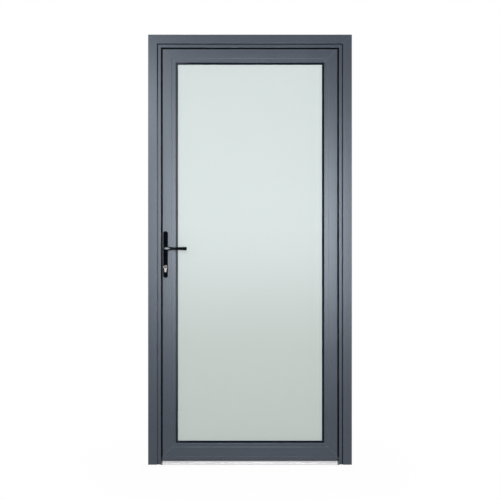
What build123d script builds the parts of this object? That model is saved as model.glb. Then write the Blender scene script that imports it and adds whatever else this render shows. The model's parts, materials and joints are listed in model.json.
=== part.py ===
from build123d import *
import os

os.makedirs("parts", exist_ok=True)

# Overall sizes: the frame stands on z = 0, the viewed side faces -Y, y = 0 is the middle of the leaf
frame_width = 990
frame_height = 2090
frame_depth = 70
leaf_depth = 65
face_setback = 5

# Clearances
fit_gap = 0.1
seat_gap = 0.3
pin_gap = 0.05
overrun = 5

# Frame sections, measured from the outer edge of the frame towards the opening
wall = 2
frame_face_width = 43.5
frame_groove_width = 3.5
frame_groove_depth = 8
frame_lip_reach = 62
frame_front_depth = 25
frame_rear_width = 43
rear_depth = 33
edge_radius = 1.2
corner_pick_share = 0.25
stop_slot_inset = 7
fixing_hole_radius = 5
fixing_foot_place = 210
fixing_head_place = 200
fixing_rear_offset = 16
fixing_count = 4

# Leaf sections, measured from the rear edge of the leaf towards the glass
leaf_gap = 7
leaf_front_setback = 20
leaf_box_width = 60
leaf_front_depth = 18
leg_reach = 24
leg_step_place = 5
leg_step_depth = 2.2
leg_thickness = 2.2
leg_return = 4
leg_rib_place = 13
leg_rib_depth = 3
hardware_slot_width = 20.4
hardware_slot_depth = 3
hardware_depth = 12

# Insulating strips between the front and rear shells
strip_web = 2.2
strip_head_width = 5
strip_head_depth = 1.8
slot_lip = 1
boss_wall = 1.6
frame_strip_insets = (7, 6)
leaf_strip_insets = (4, 5)
strip_fin_reach = 11.5
strip_fin_thickness = 2
strip_fin_setback = 4.5

# Stop gasket, glass unit and glazing
stop_bulb_width = 8
stop_bulb_bore = 2.2
glass_edge_play = 6
pane_thickness = 6
glass_space = 16
glass_setback = 12
gasket_reach = 10
gasket_nose = 1.2
inner_gasket_depth = 4.5
bead_wall = 1.6
bead_slope = 5
bead_hook = 2
bead_hook_place = 24
bead_hook_height = 3
inner_gasket_width = 9
inner_gasket_foot = 4
inner_gasket_foot_depth = 1.8
spacer_height = 9
setting_block_length = 100
setting_block_inset = 150

# Corner cleats
cleat_arm = 70
cleat_chamfer = 8

# Threshold, drip profile and brush seal
threshold_height = 18
threshold_overhang = 5
threshold_clearance = 2
threshold_nose = 10.5
threshold_bevel = 9
threshold_wall = 2
threshold_front_depth = 28.5
threshold_core_width = 20
threshold_end_block = 8
threshold_rib_pitch = 5
threshold_rib_width = 2
threshold_rib_depth = 0.8
threshold_rib_count = 4
drip_wall = 1.6
drip_slope = 3
drip_depth = 16
brush_slot = 5
brush_slot_depth = 4
brush_lip = 1.2
brush_width = 3.4

# Hinges
hinge_foot_place = 280
hinge_head_place = 250
hinge_height = 120
hinge_knuckle_radius = 10
hinge_pin_radius = 5
knuckle_clearance = 1
hinge_plate_thickness = 4
hinge_plate_width = 22
hinge_plate_gap = 0.5
hinge_tab_rise = 6.5
hinge_leaf_knuckle = 46
bush_wall = 1.5
bush_flange = 1.2
bush_flange_inset = 1
pin_cap_inset = 2
pin_cap_height = 3
hinge_screw_radius = 3
hinge_screw_head_radius = 5
hinge_screw_length = 9
hinge_screw_pitch = 36
hinge_plate_corner = 3

# Lock, latch and deadbolt
backset = 35
lever_z = 1050
cylinder_drop = 90
case_below_cylinder = 31
case_above_lever = 50
case_depth = 52
case_thickness = 14
case_wall = 1.5
faceplate_below_case = 49
faceplate_above_case = 50
faceplate_width = 20
faceplate_screw_inset = 14
lock_screw_radius = 2.5
lock_screw_head_radius = 4.5
lock_screw_length = 10
latch_rise = 24
latch_height = 24
latch_thickness = 10
latch_throw = 12
latch_head_length = 26
latch_tail_height = 7
latch_tail_thickness = 5
latch_finger_width = 4
latch_finger_drop = 10
latch_spring_radius = 3
latch_spring_wire = 0.7
latch_spring_turns = 6
follower_radius = 11
follower_lug_reach = 20
follower_lug_width = 6
follower_lean = 20
follower_gap = 2.5
deadbolt_height = 30
deadbolt_thickness = 10
deadbolt_length = 40
deadbolt_edge = 1
strike_thickness = 2.5
strike_margin = 40
strike_corner = 4

# Profile cylinder
cylinder_radius = 8.5
cylinder_lobe_width = 10
cylinder_height = 33
cylinder_proud = 1.5
cam_slot_width = 10
cam_radius = 15
cam_hub_inset = 0.5
cam_lobe_width = 8
cylinder_wall = 2
keyway_width = 2
keyway_height = 8
keyway_depth = 24

# Handle: long narrow plate with round ends and an elbowed lever
plate_width = 23
plate_above_lever = 85
plate_below_cylinder = 52
plate_thickness = 9
plate_edge = 2.5
plate_wall = 2.5
lever_length = 106
lever_standoff = 38
lever_bend = 13
lever_bend_angle = 90
lever_neck_radius = 9
spindle_bore_radius = 8
lever_seat = 4
lever_waist_place = 42
lever_waist_height = 12.5
lever_waist_depth = 11
lever_grip_place = 84
lever_grip_height = 15.5
lever_grip_depth = 12
lever_corner = 4.5
lever_tip_radius = 2.5
lever_lean_angle = 7
spindle_width = 8
spindle_reach = 20.5
handle_screw_radius = 2.5
handle_screw_head_radius = 4.2
handle_screw_head = 3
handle_screw_inset = 13

# Worked-out places
half_width = frame_width / 2
leaf_front_y = -leaf_depth / 2
rear_y = leaf_depth / 2
frame_front_y = rear_y - frame_depth
frame_lip_y = frame_front_y + face_setback
frame_back_y = frame_front_y + frame_front_depth
rear_shell_y = rear_y - rear_depth
leaf_back_y = leaf_front_y + leaf_front_depth
leaf_outer = frame_rear_width + leaf_gap
leaf_half = half_width - leaf_outer
leaf_bottom = threshold_height + threshold_clearance
leaf_top = frame_height - leaf_outer
leg_edge = leaf_box_width + leg_reach
glass_edge = leaf_box_width + glass_edge_play
glass_front_y = leaf_front_y + glass_setback
glass_rear_y = glass_front_y + pane_thickness + glass_space + pane_thickness
bead_front_y = glass_rear_y + inner_gasket_depth
hardware_center_y = rear_shell_y + hardware_depth
frame_strip_places = (frame_strip_insets[0], frame_rear_width - frame_strip_insets[1])
leaf_strip_places = (leaf_front_setback + leaf_strip_insets[0], leaf_box_width - leaf_strip_insets[1])
stop_slot_place = frame_lip_reach - stop_slot_inset
fixing_pitch = (frame_height - fixing_foot_place - fixing_head_place) / (fixing_count - 1)
threshold_front_y = frame_front_y - threshold_overhang
threshold_rear_y = rear_y + threshold_overhang
threshold_core_front_y = threshold_front_y + threshold_front_depth
threshold_core_rear_y = threshold_core_front_y + threshold_core_width
threshold_half_length = half_width - frame_lip_reach - threshold_end_block
boss_depth = slot_lip + strip_head_depth + fit_gap + boss_wall
boss_width = strip_head_width + fit_gap + boss_wall + boss_wall
groove_end = frame_face_width + frame_groove_width
lock_x = -leaf_half + backset
cylinder_z = lever_z - cylinder_drop
latch_z = lever_z + latch_rise
deadbolt_z = (lever_z + cylinder_z) / 2
case_bottom = cylinder_z - case_below_cylinder
case_top = lever_z + case_above_lever
faceplate_bottom = case_bottom - faceplate_below_case
faceplate_top = case_top + faceplate_above_case
cam_hub_radius = cylinder_radius - cam_hub_inset
cam_width = cam_slot_width - seat_gap - seat_gap
plug_radius = cylinder_radius - cylinder_wall
spindle_half_length = rear_y + plate_thickness + spindle_reach
hinge_x = leaf_half + leaf_gap / 2
hinge_y = rear_y + hinge_knuckle_radius + knuckle_clearance
hinge_low_z = leaf_bottom + hinge_foot_place
hinge_high_z = leaf_top - hinge_head_place
hinge_heights = (hinge_low_z, (hinge_low_z + hinge_high_z) / 2, hinge_high_z)
bush_flange_radius = hinge_knuckle_radius - bush_flange_inset
pin_cap_radius = hinge_knuckle_radius - pin_cap_inset
plate_top = lever_z + plate_above_lever
plate_bottom = cylinder_z - plate_below_cylinder
plate_length = plate_top - plate_bottom
case_front_x = -leaf_half + hardware_slot_depth
strike_x = -half_width + frame_rear_width
cylinder_fixing_z = cylinder_z + cylinder_radius - cylinder_height + cylinder_lobe_width / 2
hinge_screw_size = (hinge_screw_radius, hinge_screw_head_radius, hinge_screw_length)
lock_screw_size = (lock_screw_radius, lock_screw_head_radius, lock_screw_length)
cylinder_screw_size = (lock_screw_radius, lock_screw_head_radius, backset)


def box_between(low, high):
    """A box from its low corner to its high corner."""
    size = [b - a for a, b in zip(low, high)]
    return Pos(*low) * Box(*size, align=(Align.MIN, Align.MIN, Align.MIN))


def rectangle_between(low, high):
    """A rectangle from its low corner to its high corner."""
    width = high[0] - low[0]
    height = high[1] - low[1]
    return Pos(*low) * Rectangle(width, height, align=(Align.MIN, Align.MIN))


def along_y(sketch, x, z, low, high):
    """A prism of a front-view outline between two depths."""
    plane = Plane(origin=(x, high, z), x_dir=(1, 0, 0), z_dir=(0, -1, 0))
    return extrude(plane * sketch, amount=high - low, dir=(0, -1, 0))


def along_z(sketch, x, y, low, high):
    """A prism of a plan outline between two heights."""
    return extrude(Pos(x, y, low) * sketch, amount=high - low, dir=(0, 0, 1))


def along_x(sketch, y, z, low, high):
    """A prism of an end-view outline between two places across the door."""
    plane = Plane(origin=(low, y, z), x_dir=(0, 1, 0), z_dir=(1, 0, 0))
    return extrude(plane * sketch, amount=high - low, dir=(1, 0, 0))


def rounded(sketch, corners, radius):
    """The sketch with the named corners rounded."""
    near = radius * corner_pick_share
    picked = [v for v in sketch.vertices() for c in corners if (Vector(v) - Vector(*c)).length < near]
    return fillet(picked, radius)


def member(section, plane, length, start_mitre=True, end_mitre=True, short=0):
    """A straight profile of a section, cut at 45 degrees where it meets its neighbours."""
    reach = section.bounding_box().max.X
    start = reach + short if start_mitre else 0
    end = length - reach - short if end_mitre else length
    low = short if start_mitre else 0
    high = length - short if end_mitre else length
    outline = Polyline((0, 0, low), (reach, 0, start), (reach, 0, end), (0, 0, high), close=True)
    wedge = extrude(make_face(outline), amount=frame_depth, both=True)
    return plane * (extrude(section, amount=length) & wedge)


def ring_members(section, half, bottom, top, short=0):
    """The four mitred members of a closed rectangle: left, top, right and bottom."""
    left = Plane(origin=(-half, 0, bottom), x_dir=(1, 0, 0), z_dir=(0, 0, 1))
    head = Plane(origin=(-half, 0, top), x_dir=(0, 0, -1), z_dir=(1, 0, 0))
    right = Plane(origin=(half, 0, top), x_dir=(-1, 0, 0), z_dir=(0, 0, -1))
    sill = Plane(origin=(half, 0, bottom), x_dir=(0, 0, 1), z_dir=(-1, 0, 0))
    height = top - bottom
    width = half + half
    places = ((left, height), (head, width), (right, height), (sill, width))
    return [member(section, plane, length, short=short) for plane, length in places]


def frame_members(section, foot=0, short=0):
    """The two jambs and the head of a section: left, head and right, square at the foot."""
    left = Plane(origin=(-half_width, 0, foot), x_dir=(1, 0, 0), z_dir=(0, 0, 1))
    head = Plane(origin=(-half_width, 0, frame_height), x_dir=(0, 0, -1), z_dir=(1, 0, 0))
    right = Plane(origin=(half_width, 0, frame_height), x_dir=(-1, 0, 0), z_dir=(0, 0, -1))
    height = frame_height - foot
    return [
        member(section, left, height, start_mitre=False, short=short),
        member(section, head, frame_width, short=short),
        member(section, right, height, end_mitre=False, short=short),
    ]


def countersunk(radius, head_radius, length, gap):
    """A countersunk screw, or its hole, that points down from a face at z = 0."""
    taper = head_radius - radius
    outline = Polygon(
        (0, 0),
        (0, -length - gap),
        (radius + gap, -length - gap),
        (radius + gap, -taper - gap),
        (head_radius + gap, 0),
        align=None,
    )
    return revolve(Plane.XZ * outline, axis=Axis.Z)


def screw_set(places, size):
    """A screw at each place."""
    return [place * countersunk(*size, 0) for place in places]


def with_holes(shape, places, size):
    """A shape with the hole of a screw at each place."""
    for place in places:
        shape -= place * countersunk(*size, fit_gap)
    return shape


def save(name, *shapes):
    """Write one node, a solid or a group of solids."""
    solids = [solid for shape in shapes for solid in shape.solids()]
    node = solids[0] if len(solids) == 1 else Compound(solids)
    export_step(node, f"parts/{name}.step")


# Slots that hold the strips, and the strips themselves
def slot_boss(place, face_y, side):
    """The thickening behind a slot, on the inner side of a shell wall."""
    half = boss_width / 2
    ends = sorted((face_y, face_y + side * boss_depth))
    return rectangle_between((place - half, ends[0]), (place + half, ends[1]))


def slot_cut(place, face_y, side, gap):
    """A T-shaped slot that opens at the face of a shell."""
    neck = strip_web / 2 + gap
    head = strip_head_width / 2 + gap
    lip_y = face_y + side * (slot_lip - gap)
    deep_y = face_y + side * (slot_lip + strip_head_depth + gap)
    mouth = sorted((face_y, lip_y))
    depth = sorted((lip_y, deep_y))
    return rectangle_between((place - neck, mouth[0]), (place + neck, mouth[1])) + rectangle_between(
        (place - head, depth[0]), (place + head, depth[1])
    )


def hollow(outline, slots):
    """A hollow profile with slots: each slot is its place, the y of its face and its inward side."""
    chamber = offset(outline, amount=-wall, kind=Kind.INTERSECTION)
    for slot in slots:
        chamber -= slot_boss(*slot)
    section = outline - chamber
    for slot in slots:
        section -= slot_cut(*slot, fit_gap)
    return section


def strip_section(place, front_y, back_y):
    """One strip with a head in each shell."""
    half = strip_web / 2
    web = rectangle_between((place - half, front_y), (place + half, back_y))
    return web + slot_cut(place, front_y, -1, 0) + slot_cut(place, back_y, 1, 0)


def leaf_strip_section(place):
    """A strip of the leaf; the outer one has a fin that closes the gap round the leaf to the eye."""
    section = strip_section(place, leaf_back_y, rear_shell_y)
    if place > leaf_strip_places[0]:
        return section
    fin_y = leaf_back_y + strip_fin_setback
    return section + rectangle_between((place - strip_fin_reach, fin_y), (place, fin_y + strip_fin_thickness))


# Frame sections
def frame_front_section():
    corners = (
        (0, frame_front_y),
        (frame_face_width, frame_front_y),
        (frame_face_width, frame_front_y + frame_groove_depth),
        (groove_end, frame_front_y + frame_groove_depth),
        (groove_end, frame_lip_y),
        (frame_lip_reach, frame_lip_y),
        (frame_lip_reach, frame_back_y),
        (0, frame_back_y),
    )
    slots = [(place, frame_back_y, -1) for place in (*frame_strip_places, stop_slot_place)]
    section = hollow(Polygon(*corners, align=None), slots)
    return rounded(section, (corners[0], corners[1], corners[4], corners[5]), edge_radius)


def frame_rear_section():
    outline = rectangle_between((0, rear_shell_y), (frame_rear_width, rear_y))
    section = hollow(outline, [(place, rear_shell_y, 1) for place in frame_strip_places])
    return rounded(section, ((0, rear_y), (frame_rear_width, rear_y)), edge_radius)


def stop_gasket_section():
    """A hollow bulb on the back of the frame's lip that the leaf closes on."""
    half = stop_bulb_width / 2
    tip_y = rear_shell_y - seat_gap
    middle_y = (frame_back_y + tip_y) / 2
    body = rectangle_between((stop_slot_place - half, frame_back_y), (stop_slot_place + half, tip_y))
    crown = ((stop_slot_place - half, tip_y), (stop_slot_place + half, tip_y))
    body = rounded(body, crown, half - fit_gap)
    body -= Pos(stop_slot_place, middle_y) * Circle(stop_bulb_bore)
    return body + slot_cut(stop_slot_place, frame_back_y, -1, 0)


# Leaf sections
def leaf_front_section():
    """The front shell: a hollow box with a glazing leg that steps back and turns in at its edge."""
    leg_y = leaf_front_y + leg_step_depth
    leg_back_y = leg_y + leg_thickness
    step = leaf_box_width + leg_step_place
    box = rectangle_between((leaf_front_setback, leaf_front_y), (leaf_box_width, leaf_back_y))
    section = hollow(box, [(place, leaf_back_y, -1) for place in leaf_strip_places])
    section += rectangle_between((leaf_box_width, leaf_front_y), (step, leg_back_y))
    section += rectangle_between((step, leg_y), (leg_edge, leg_back_y))
    section += rectangle_between((leg_edge - leg_thickness, leg_back_y), (leg_edge, leg_y + leg_return))
    rib = leaf_box_width + leg_rib_place
    section += rectangle_between((rib, leg_back_y), (rib + wall, leg_back_y + leg_rib_depth))
    corners = ((leaf_front_setback, leaf_front_y), (step, leaf_front_y), (leg_edge, leg_y))
    return rounded(section, corners, edge_radius)


def leaf_rear_section():
    """The rear shell, with the hardware slot in its edge and a slot that takes the bead's hook."""
    low = hardware_center_y - hardware_slot_width / 2
    high = hardware_center_y + hardware_slot_width / 2
    corners = (
        (0, rear_shell_y),
        (leaf_box_width, rear_shell_y),
        (leaf_box_width, rear_y),
        (0, rear_y),
        (0, high),
        (hardware_slot_depth, high),
        (hardware_slot_depth, low),
        (0, low),
    )
    section = hollow(Polygon(*corners, align=None), [(p, rear_shell_y, 1) for p in leaf_strip_places])
    hook_low = rear_shell_y + bead_hook_place
    hook_high = hook_low + bead_hook_height
    inner = leaf_box_width - bead_hook - fit_gap
    cup = (inner - wall, hook_low - wall - fit_gap)
    section += rectangle_between(cup, (leaf_box_width, hook_high + wall + fit_gap))
    mouth = (leaf_box_width + fit_gap, hook_high + fit_gap)
    section -= rectangle_between((inner, hook_low - fit_gap), mouth)
    return rounded(section, ((0, rear_y),), edge_radius)


def bead_section():
    """A hollow glazing bead with a sloped sight edge, a hook and a slot for its gasket."""
    near = leaf_box_width + fit_gap
    corners = (
        (near, bead_front_y),
        (leg_edge, bead_front_y),
        (leg_edge, rear_y - bead_slope),
        (leg_edge - bead_slope, rear_y),
        (near, rear_y),
    )
    outline = Polygon(*corners, align=None)
    section = outline - offset(outline, amount=-bead_wall, kind=Kind.INTERSECTION)
    hook_low = rear_shell_y + bead_hook_place
    section += rectangle_between((near - bead_hook, hook_low), (near, hook_low + bead_hook_height))
    middle = leg_edge - inner_gasket_width / 2
    half = inner_gasket_foot / 2 + fit_gap
    deep = bead_front_y + inner_gasket_foot_depth + fit_gap
    cup = (middle - half - bead_wall, bead_front_y)
    section += rectangle_between(cup, (middle + half + bead_wall, deep + bead_wall)) & outline
    return section - rectangle_between((middle - half, bead_front_y), (middle + half, deep))


def outer_gasket_section():
    """The black wedge that shows round the glass, with its foot behind the glazing leg."""
    leg_y = leaf_front_y + leg_step_depth
    foot_y = leg_y + leg_thickness + fit_gap
    low = leaf_box_width + leg_rib_place + wall + fit_gap
    high = leg_edge - leg_thickness - fit_gap
    edge_y = leg_y + leg_return + fit_gap
    tip = leg_edge + gasket_reach
    return Polygon(
        (low, foot_y),
        (high, foot_y),
        (high, edge_y),
        (leg_edge, edge_y),
        (tip, glass_front_y - gasket_nose),
        (tip, glass_front_y),
        (low, glass_front_y),
        align=None,
    )


def inner_gasket_section():
    middle = leg_edge - inner_gasket_width / 2
    half = inner_gasket_foot / 2
    foot_y = bead_front_y + inner_gasket_foot_depth
    body = rectangle_between((leg_edge - inner_gasket_width, glass_rear_y), (leg_edge, bead_front_y))
    return body + rectangle_between((middle - half, bead_front_y), (middle + half, foot_y))


# Corner cleats: L-shaped blocks that hold each mitre from inside the chambers
def cleat(low, high, front_y, back_y):
    """An L with its legs between two distances from the outer corner, which lies at the origin."""
    end = low + cleat_arm
    outline = Polygon(
        (low + cleat_chamfer, -low),
        (end, -low),
        (end, -high),
        (high, -high),
        (high, -end),
        (low, -end),
        (low, -low - cleat_chamfer),
        align=None,
    )
    return along_y(outline, 0, 0, front_y, back_y)


def corner_set(block, half, bottom, top, below):
    """The block at each corner of a rectangle, with the lower two only where they exist."""
    left_top = Pos(-half, 0, top) * block
    tops = [left_top, mirror(left_top, about=Plane.YZ)]
    if not below:
        return tops
    turned = mirror(block, about=Plane.XY)
    left_bottom = Pos(-half, 0, bottom) * turned
    return tops + [left_bottom, mirror(left_bottom, about=Plane.YZ)]


# Frame
def slot_prism(height, thickness, z, low, high):
    """A cut across the lock edge for a bolt of a given height and thickness."""
    return along_x(Rectangle(thickness, height), hardware_center_y, z, low, high)


def build_frame():
    front = frame_members(frame_front_section())
    rear = frame_members(frame_rear_section())
    inner_wall = strike_x - wall - overrun
    for z, height, thickness in (
        (latch_z, latch_height, latch_thickness),
        (deadbolt_z, deadbolt_height, deadbolt_thickness),
    ):
        room = wall + wall
        rear[0] -= slot_prism(height + room, thickness + room, z, inner_wall, strike_x + fit_gap)
    fixing_y = rear_shell_y + fixing_rear_offset
    for i in range(fixing_count):
        z = fixing_foot_place + i * fixing_pitch
        bore = along_x(Circle(fixing_hole_radius), fixing_y, z, -half_width - overrun, half_width + overrun)
        rear[0] -= bore
        rear[2] -= bore
    save("frame_lock_jamb_outer", front[0])
    save("frame_head_outer", front[1])
    save("frame_hinge_jamb_outer", front[2])
    save("frame_lock_jamb_inner", with_holes(rear[0], strike_screw_places(), lock_screw_size))
    save("frame_head_inner", rear[1])
    hinge_jamb = with_holes(rear[2], hinge_screw_places(1), hinge_screw_size)
    save("frame_hinge_jamb_inner", hinge_jamb)
    strips = [
        bar
        for place in frame_strip_places
        for bar in frame_members(strip_section(place, frame_back_y, rear_shell_y), short=seat_gap)
    ]
    save("frame_insulating_strips", *strips)
    save("frame_stop_gasket", *frame_members(stop_gasket_section(), threshold_height + seat_gap))
    near = wall + seat_gap
    front_cleat = cleat(
        near,
        frame_face_width - near,
        frame_front_y + near,
        frame_back_y - boss_depth - seat_gap,
    )
    rear_cleat = cleat(near, frame_rear_width - near, rear_shell_y + boss_depth + seat_gap, rear_y - near)
    blocks = [
        block
        for kind in (front_cleat, rear_cleat)
        for block in corner_set(kind, half_width, 0, frame_height, False)
    ]
    save("frame_corner_cleats", *blocks)


# Threshold
def threshold_sections():
    """End views of the front profile, the insulating core and the rear profile."""
    corners = (
        (threshold_front_y, 0),
        (threshold_core_front_y, 0),
        (threshold_core_front_y, threshold_height),
        (threshold_front_y + threshold_bevel, threshold_height),
        (threshold_front_y, threshold_nose),
    )
    front = Polygon(*corners, align=None)
    front -= offset(front, amount=-threshold_wall, kind=Kind.INTERSECTION)
    front = rounded(front, (corners[3], corners[4]), edge_radius)
    rear_corners = (
        (threshold_core_rear_y, 0),
        (threshold_rear_y, 0),
        (threshold_rear_y, threshold_nose),
        (threshold_rear_y - threshold_bevel, threshold_height),
        (threshold_core_rear_y, threshold_height),
    )
    rear = Polygon(*rear_corners, align=None)
    rear -= offset(rear, amount=-threshold_wall, kind=Kind.INTERSECTION)
    for i in range(threshold_rib_count):
        low = threshold_core_rear_y + threshold_rib_pitch * (i + 1)
        top = (low + threshold_rib_width, threshold_height)
        rear -= rectangle_between((low, threshold_height - threshold_rib_depth), top)
    core = rectangle_between((threshold_core_front_y, 0), (threshold_core_rear_y, threshold_height))
    core -= offset(core, amount=-threshold_wall - threshold_wall, kind=Kind.INTERSECTION)
    return front, core, rear


def build_threshold():
    front, core, rear = threshold_sections()
    low, high = -threshold_half_length, threshold_half_length
    save("threshold_outer", along_x(front, 0, 0, low, high))
    save("threshold_core", along_x(core, 0, 0, low, high))
    save("threshold_inner", along_x(rear, 0, 0, low, high))
    lip_x = half_width - frame_lip_reach - fit_gap
    jamb_x = half_width - frame_rear_width - fit_gap
    outline = Polygon(
        (threshold_half_length, threshold_front_y),
        (lip_x, threshold_front_y),
        (lip_x, frame_back_y + fit_gap),
        (jamb_x, frame_back_y + fit_gap),
        (jamb_x, threshold_rear_y),
        (threshold_half_length, threshold_rear_y),
        align=None,
    )
    block = along_z(outline, 0, 0, 0, threshold_height)
    bevel = Polygon(
        (threshold_front_y, threshold_nose),
        (threshold_front_y + threshold_bevel, threshold_height),
        (threshold_front_y, threshold_height),
        align=None,
    )
    block -= along_x(bevel, 0, 0, threshold_half_length, half_width)
    save("threshold_end_blocks", block, mirror(block, about=Plane.YZ))


# Leaf
def build_leaf_shells():
    front = ring_members(leaf_front_section(), leaf_half, leaf_bottom, leaf_top)
    rear = ring_members(leaf_rear_section(), leaf_half, leaf_bottom, leaf_top)
    through_low = leaf_front_y - overrun
    through_high = rear_y + overrun
    bores = along_y(Circle(spindle_bore_radius), lock_x, lever_z, through_low, through_high)
    bores += along_y(cylinder_outline(seat_gap), lock_x, cylinder_z, through_low, through_high)
    for z in (plate_top - handle_screw_inset, plate_bottom + handle_screw_inset):
        bores += along_y(Circle(handle_screw_radius + seat_gap), lock_x, z, through_low, through_high)
    front[0] -= bores
    pocket_height = case_top - case_bottom + seat_gap + seat_gap
    pocket_z = (case_top + case_bottom) / 2
    edge_end = case_front_x + wall + overrun
    pocket = slot_prism(pocket_height, case_thickness + seat_gap + seat_gap, pocket_z, -leaf_half, edge_end)
    ends, fixing = faceplate_screw_places()
    rear[0] = with_holes(rear[0] - bores - pocket, ends, lock_screw_size)
    rear[0] = with_holes(rear[0], fixing, cylinder_screw_size)
    rear[2] = with_holes(rear[2], hinge_screw_places(-1), hinge_screw_size)
    names = ("lock_stile", "top_rail", "hinge_stile", "bottom_rail")
    for name, outer, inner in zip(names, front, rear):
        save(f"leaf_{name}_outer", outer)
        save(f"leaf_{name}_inner", inner)
    strips = [
        bar
        for place in leaf_strip_places
        for bar in ring_members(leaf_strip_section(place), leaf_half, leaf_bottom, leaf_top, seat_gap)
    ]
    save("leaf_insulating_strips", *strips)
    near = wall + seat_gap
    front_cleat = cleat(
        leaf_front_setback + near,
        leaf_box_width - near,
        leaf_front_y + near,
        leaf_back_y - boss_depth - seat_gap,
    )
    rear_cleat = cleat(
        hardware_slot_depth + near,
        leaf_box_width - bead_hook - wall - near,
        rear_shell_y + boss_depth + seat_gap,
        rear_y - near,
    )
    blocks = [
        block
        for kind in (front_cleat, rear_cleat)
        for block in corner_set(kind, leaf_half, leaf_bottom, leaf_top, True)
    ]
    save("leaf_corner_cleats", *blocks)


def build_drip():
    """The profile under the front shell of the bottom rail, with a brush in its lower slot."""
    top = leaf_bottom + leaf_front_setback
    half = leaf_half - leaf_front_setback
    corners = (
        (leaf_front_y, top),
        (leaf_front_y, leaf_bottom + drip_slope),
        (leaf_front_y + drip_slope, leaf_bottom),
        (leaf_front_y + drip_depth, leaf_bottom),
        (leaf_front_y + drip_depth, top),
    )
    outline = Polygon(*corners, align=None)
    section = outline - offset(outline, amount=-drip_wall, kind=Kind.INTERSECTION)
    middle = leaf_front_y + drip_slope / 2 + drip_depth / 2
    slot_half = brush_slot / 2 + fit_gap
    neck_half = brush_width / 2 + fit_gap
    lip_z = leaf_bottom + brush_lip
    slot_top = lip_z + brush_slot_depth
    cup = (middle - slot_half - drip_wall, leaf_bottom)
    section += rectangle_between(cup, (middle + slot_half + drip_wall, slot_top + drip_wall))
    section -= rectangle_between((middle - slot_half, lip_z), (middle + slot_half, slot_top))
    section -= rectangle_between((middle - neck_half, leaf_bottom), (middle + neck_half, lip_z))
    save("drip_profile", along_x(section, 0, 0, -half, half))
    base_half = brush_slot / 2
    foot_z = lip_z + fit_gap
    brush = rectangle_between((middle - base_half, foot_z), (middle + base_half, slot_top - fit_gap))
    pile_low = (middle - brush_width / 2, threshold_height + seat_gap)
    brush += rectangle_between(pile_low, (middle + brush_width / 2, foot_z))
    save("bottom_brush_seal", along_x(brush, 0, 0, -half, half))


def build_glazing():
    half = leaf_half - glass_edge
    low = leaf_bottom + glass_edge
    high = leaf_top - glass_edge
    pane = rectangle_between((-half, low), (half, high))
    space_y = glass_front_y + pane_thickness
    save("glass_outer_pane", along_y(pane, 0, 0, glass_front_y, space_y))
    save("glass_inner_pane", along_y(pane, 0, 0, space_y + glass_space, glass_rear_y))
    spacer = pane - offset(pane, amount=-spacer_height, kind=Kind.INTERSECTION)
    save("glass_spacer", along_y(spacer, 0, 0, space_y, space_y + glass_space))
    beads = ring_members(bead_section(), leaf_half, leaf_bottom, leaf_top)
    save("glazing_beads_upright", beads[0], beads[2])
    save("glazing_beads_level", beads[1], beads[3])
    outer = ring_members(outer_gasket_section(), leaf_half, leaf_bottom, leaf_top)
    save("glazing_gasket_outer", *outer)
    inner = ring_members(inner_gasket_section(), leaf_half, leaf_bottom, leaf_top)
    save("glazing_gasket_inner", *inner)
    floor = leaf_bottom + leaf_box_width
    blocks = []
    for side in (-1, 1):
        middle = side * (half - setting_block_inset)
        corner = (middle - setting_block_length / 2, glass_front_y, floor)
        far = (middle + setting_block_length / 2, glass_rear_y, low)
        blocks.append(box_between(corner, far))
    save("setting_blocks", *blocks)


# Hinges: the frame half carries the pin, the leaf half turns on flanged bushes
def hinge_clear():
    """How far a plate stays from the hinge axis, beside the barrel of the other half."""
    return hinge_knuckle_radius + hinge_plate_gap


def hinge_screw_places(side):
    """Where the screws of the frame plates (side 1) or the leaf plates (side -1) enter."""
    x = hinge_x + side * (hinge_clear() + hinge_plate_width / 2)
    face_y = rear_y + hinge_plate_thickness
    return [
        Plane(origin=(x, face_y, z + rise * hinge_screw_pitch), z_dir=(0, 1, 0))
        for z in hinge_heights
        for rise in (-1, 1)
    ]


def hinge_plate(side, z):
    """A plate with rounded corners and two screw holes, flat on the rear face of a profile."""
    outline = RectangleRounded(hinge_plate_width, hinge_height, hinge_plate_corner)
    middle = hinge_x + side * (hinge_clear() + hinge_plate_width / 2)
    plate = along_y(outline, middle, z, rear_y, rear_y + hinge_plate_thickness)
    near = [place for place in hinge_screw_places(side) if abs(place.origin.Z - z) < hinge_height / 2]
    return with_holes(plate, near, hinge_screw_size)


def knuckle(side, bore, low, high):
    """A barrel round the hinge axis with the tab that joins it to its plate."""
    reach = hinge_clear() + hinge_plate_corner
    tab_low = min(0, side * reach)
    tab_high = max(0, side * reach)
    tab_top = hinge_tab_rise - hinge_knuckle_radius
    tab = rectangle_between((tab_low, -hinge_knuckle_radius), (tab_high, tab_top))
    outline = Circle(hinge_knuckle_radius) + tab - Circle(bore)
    return along_z(outline, hinge_x, hinge_y, low, high)


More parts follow.
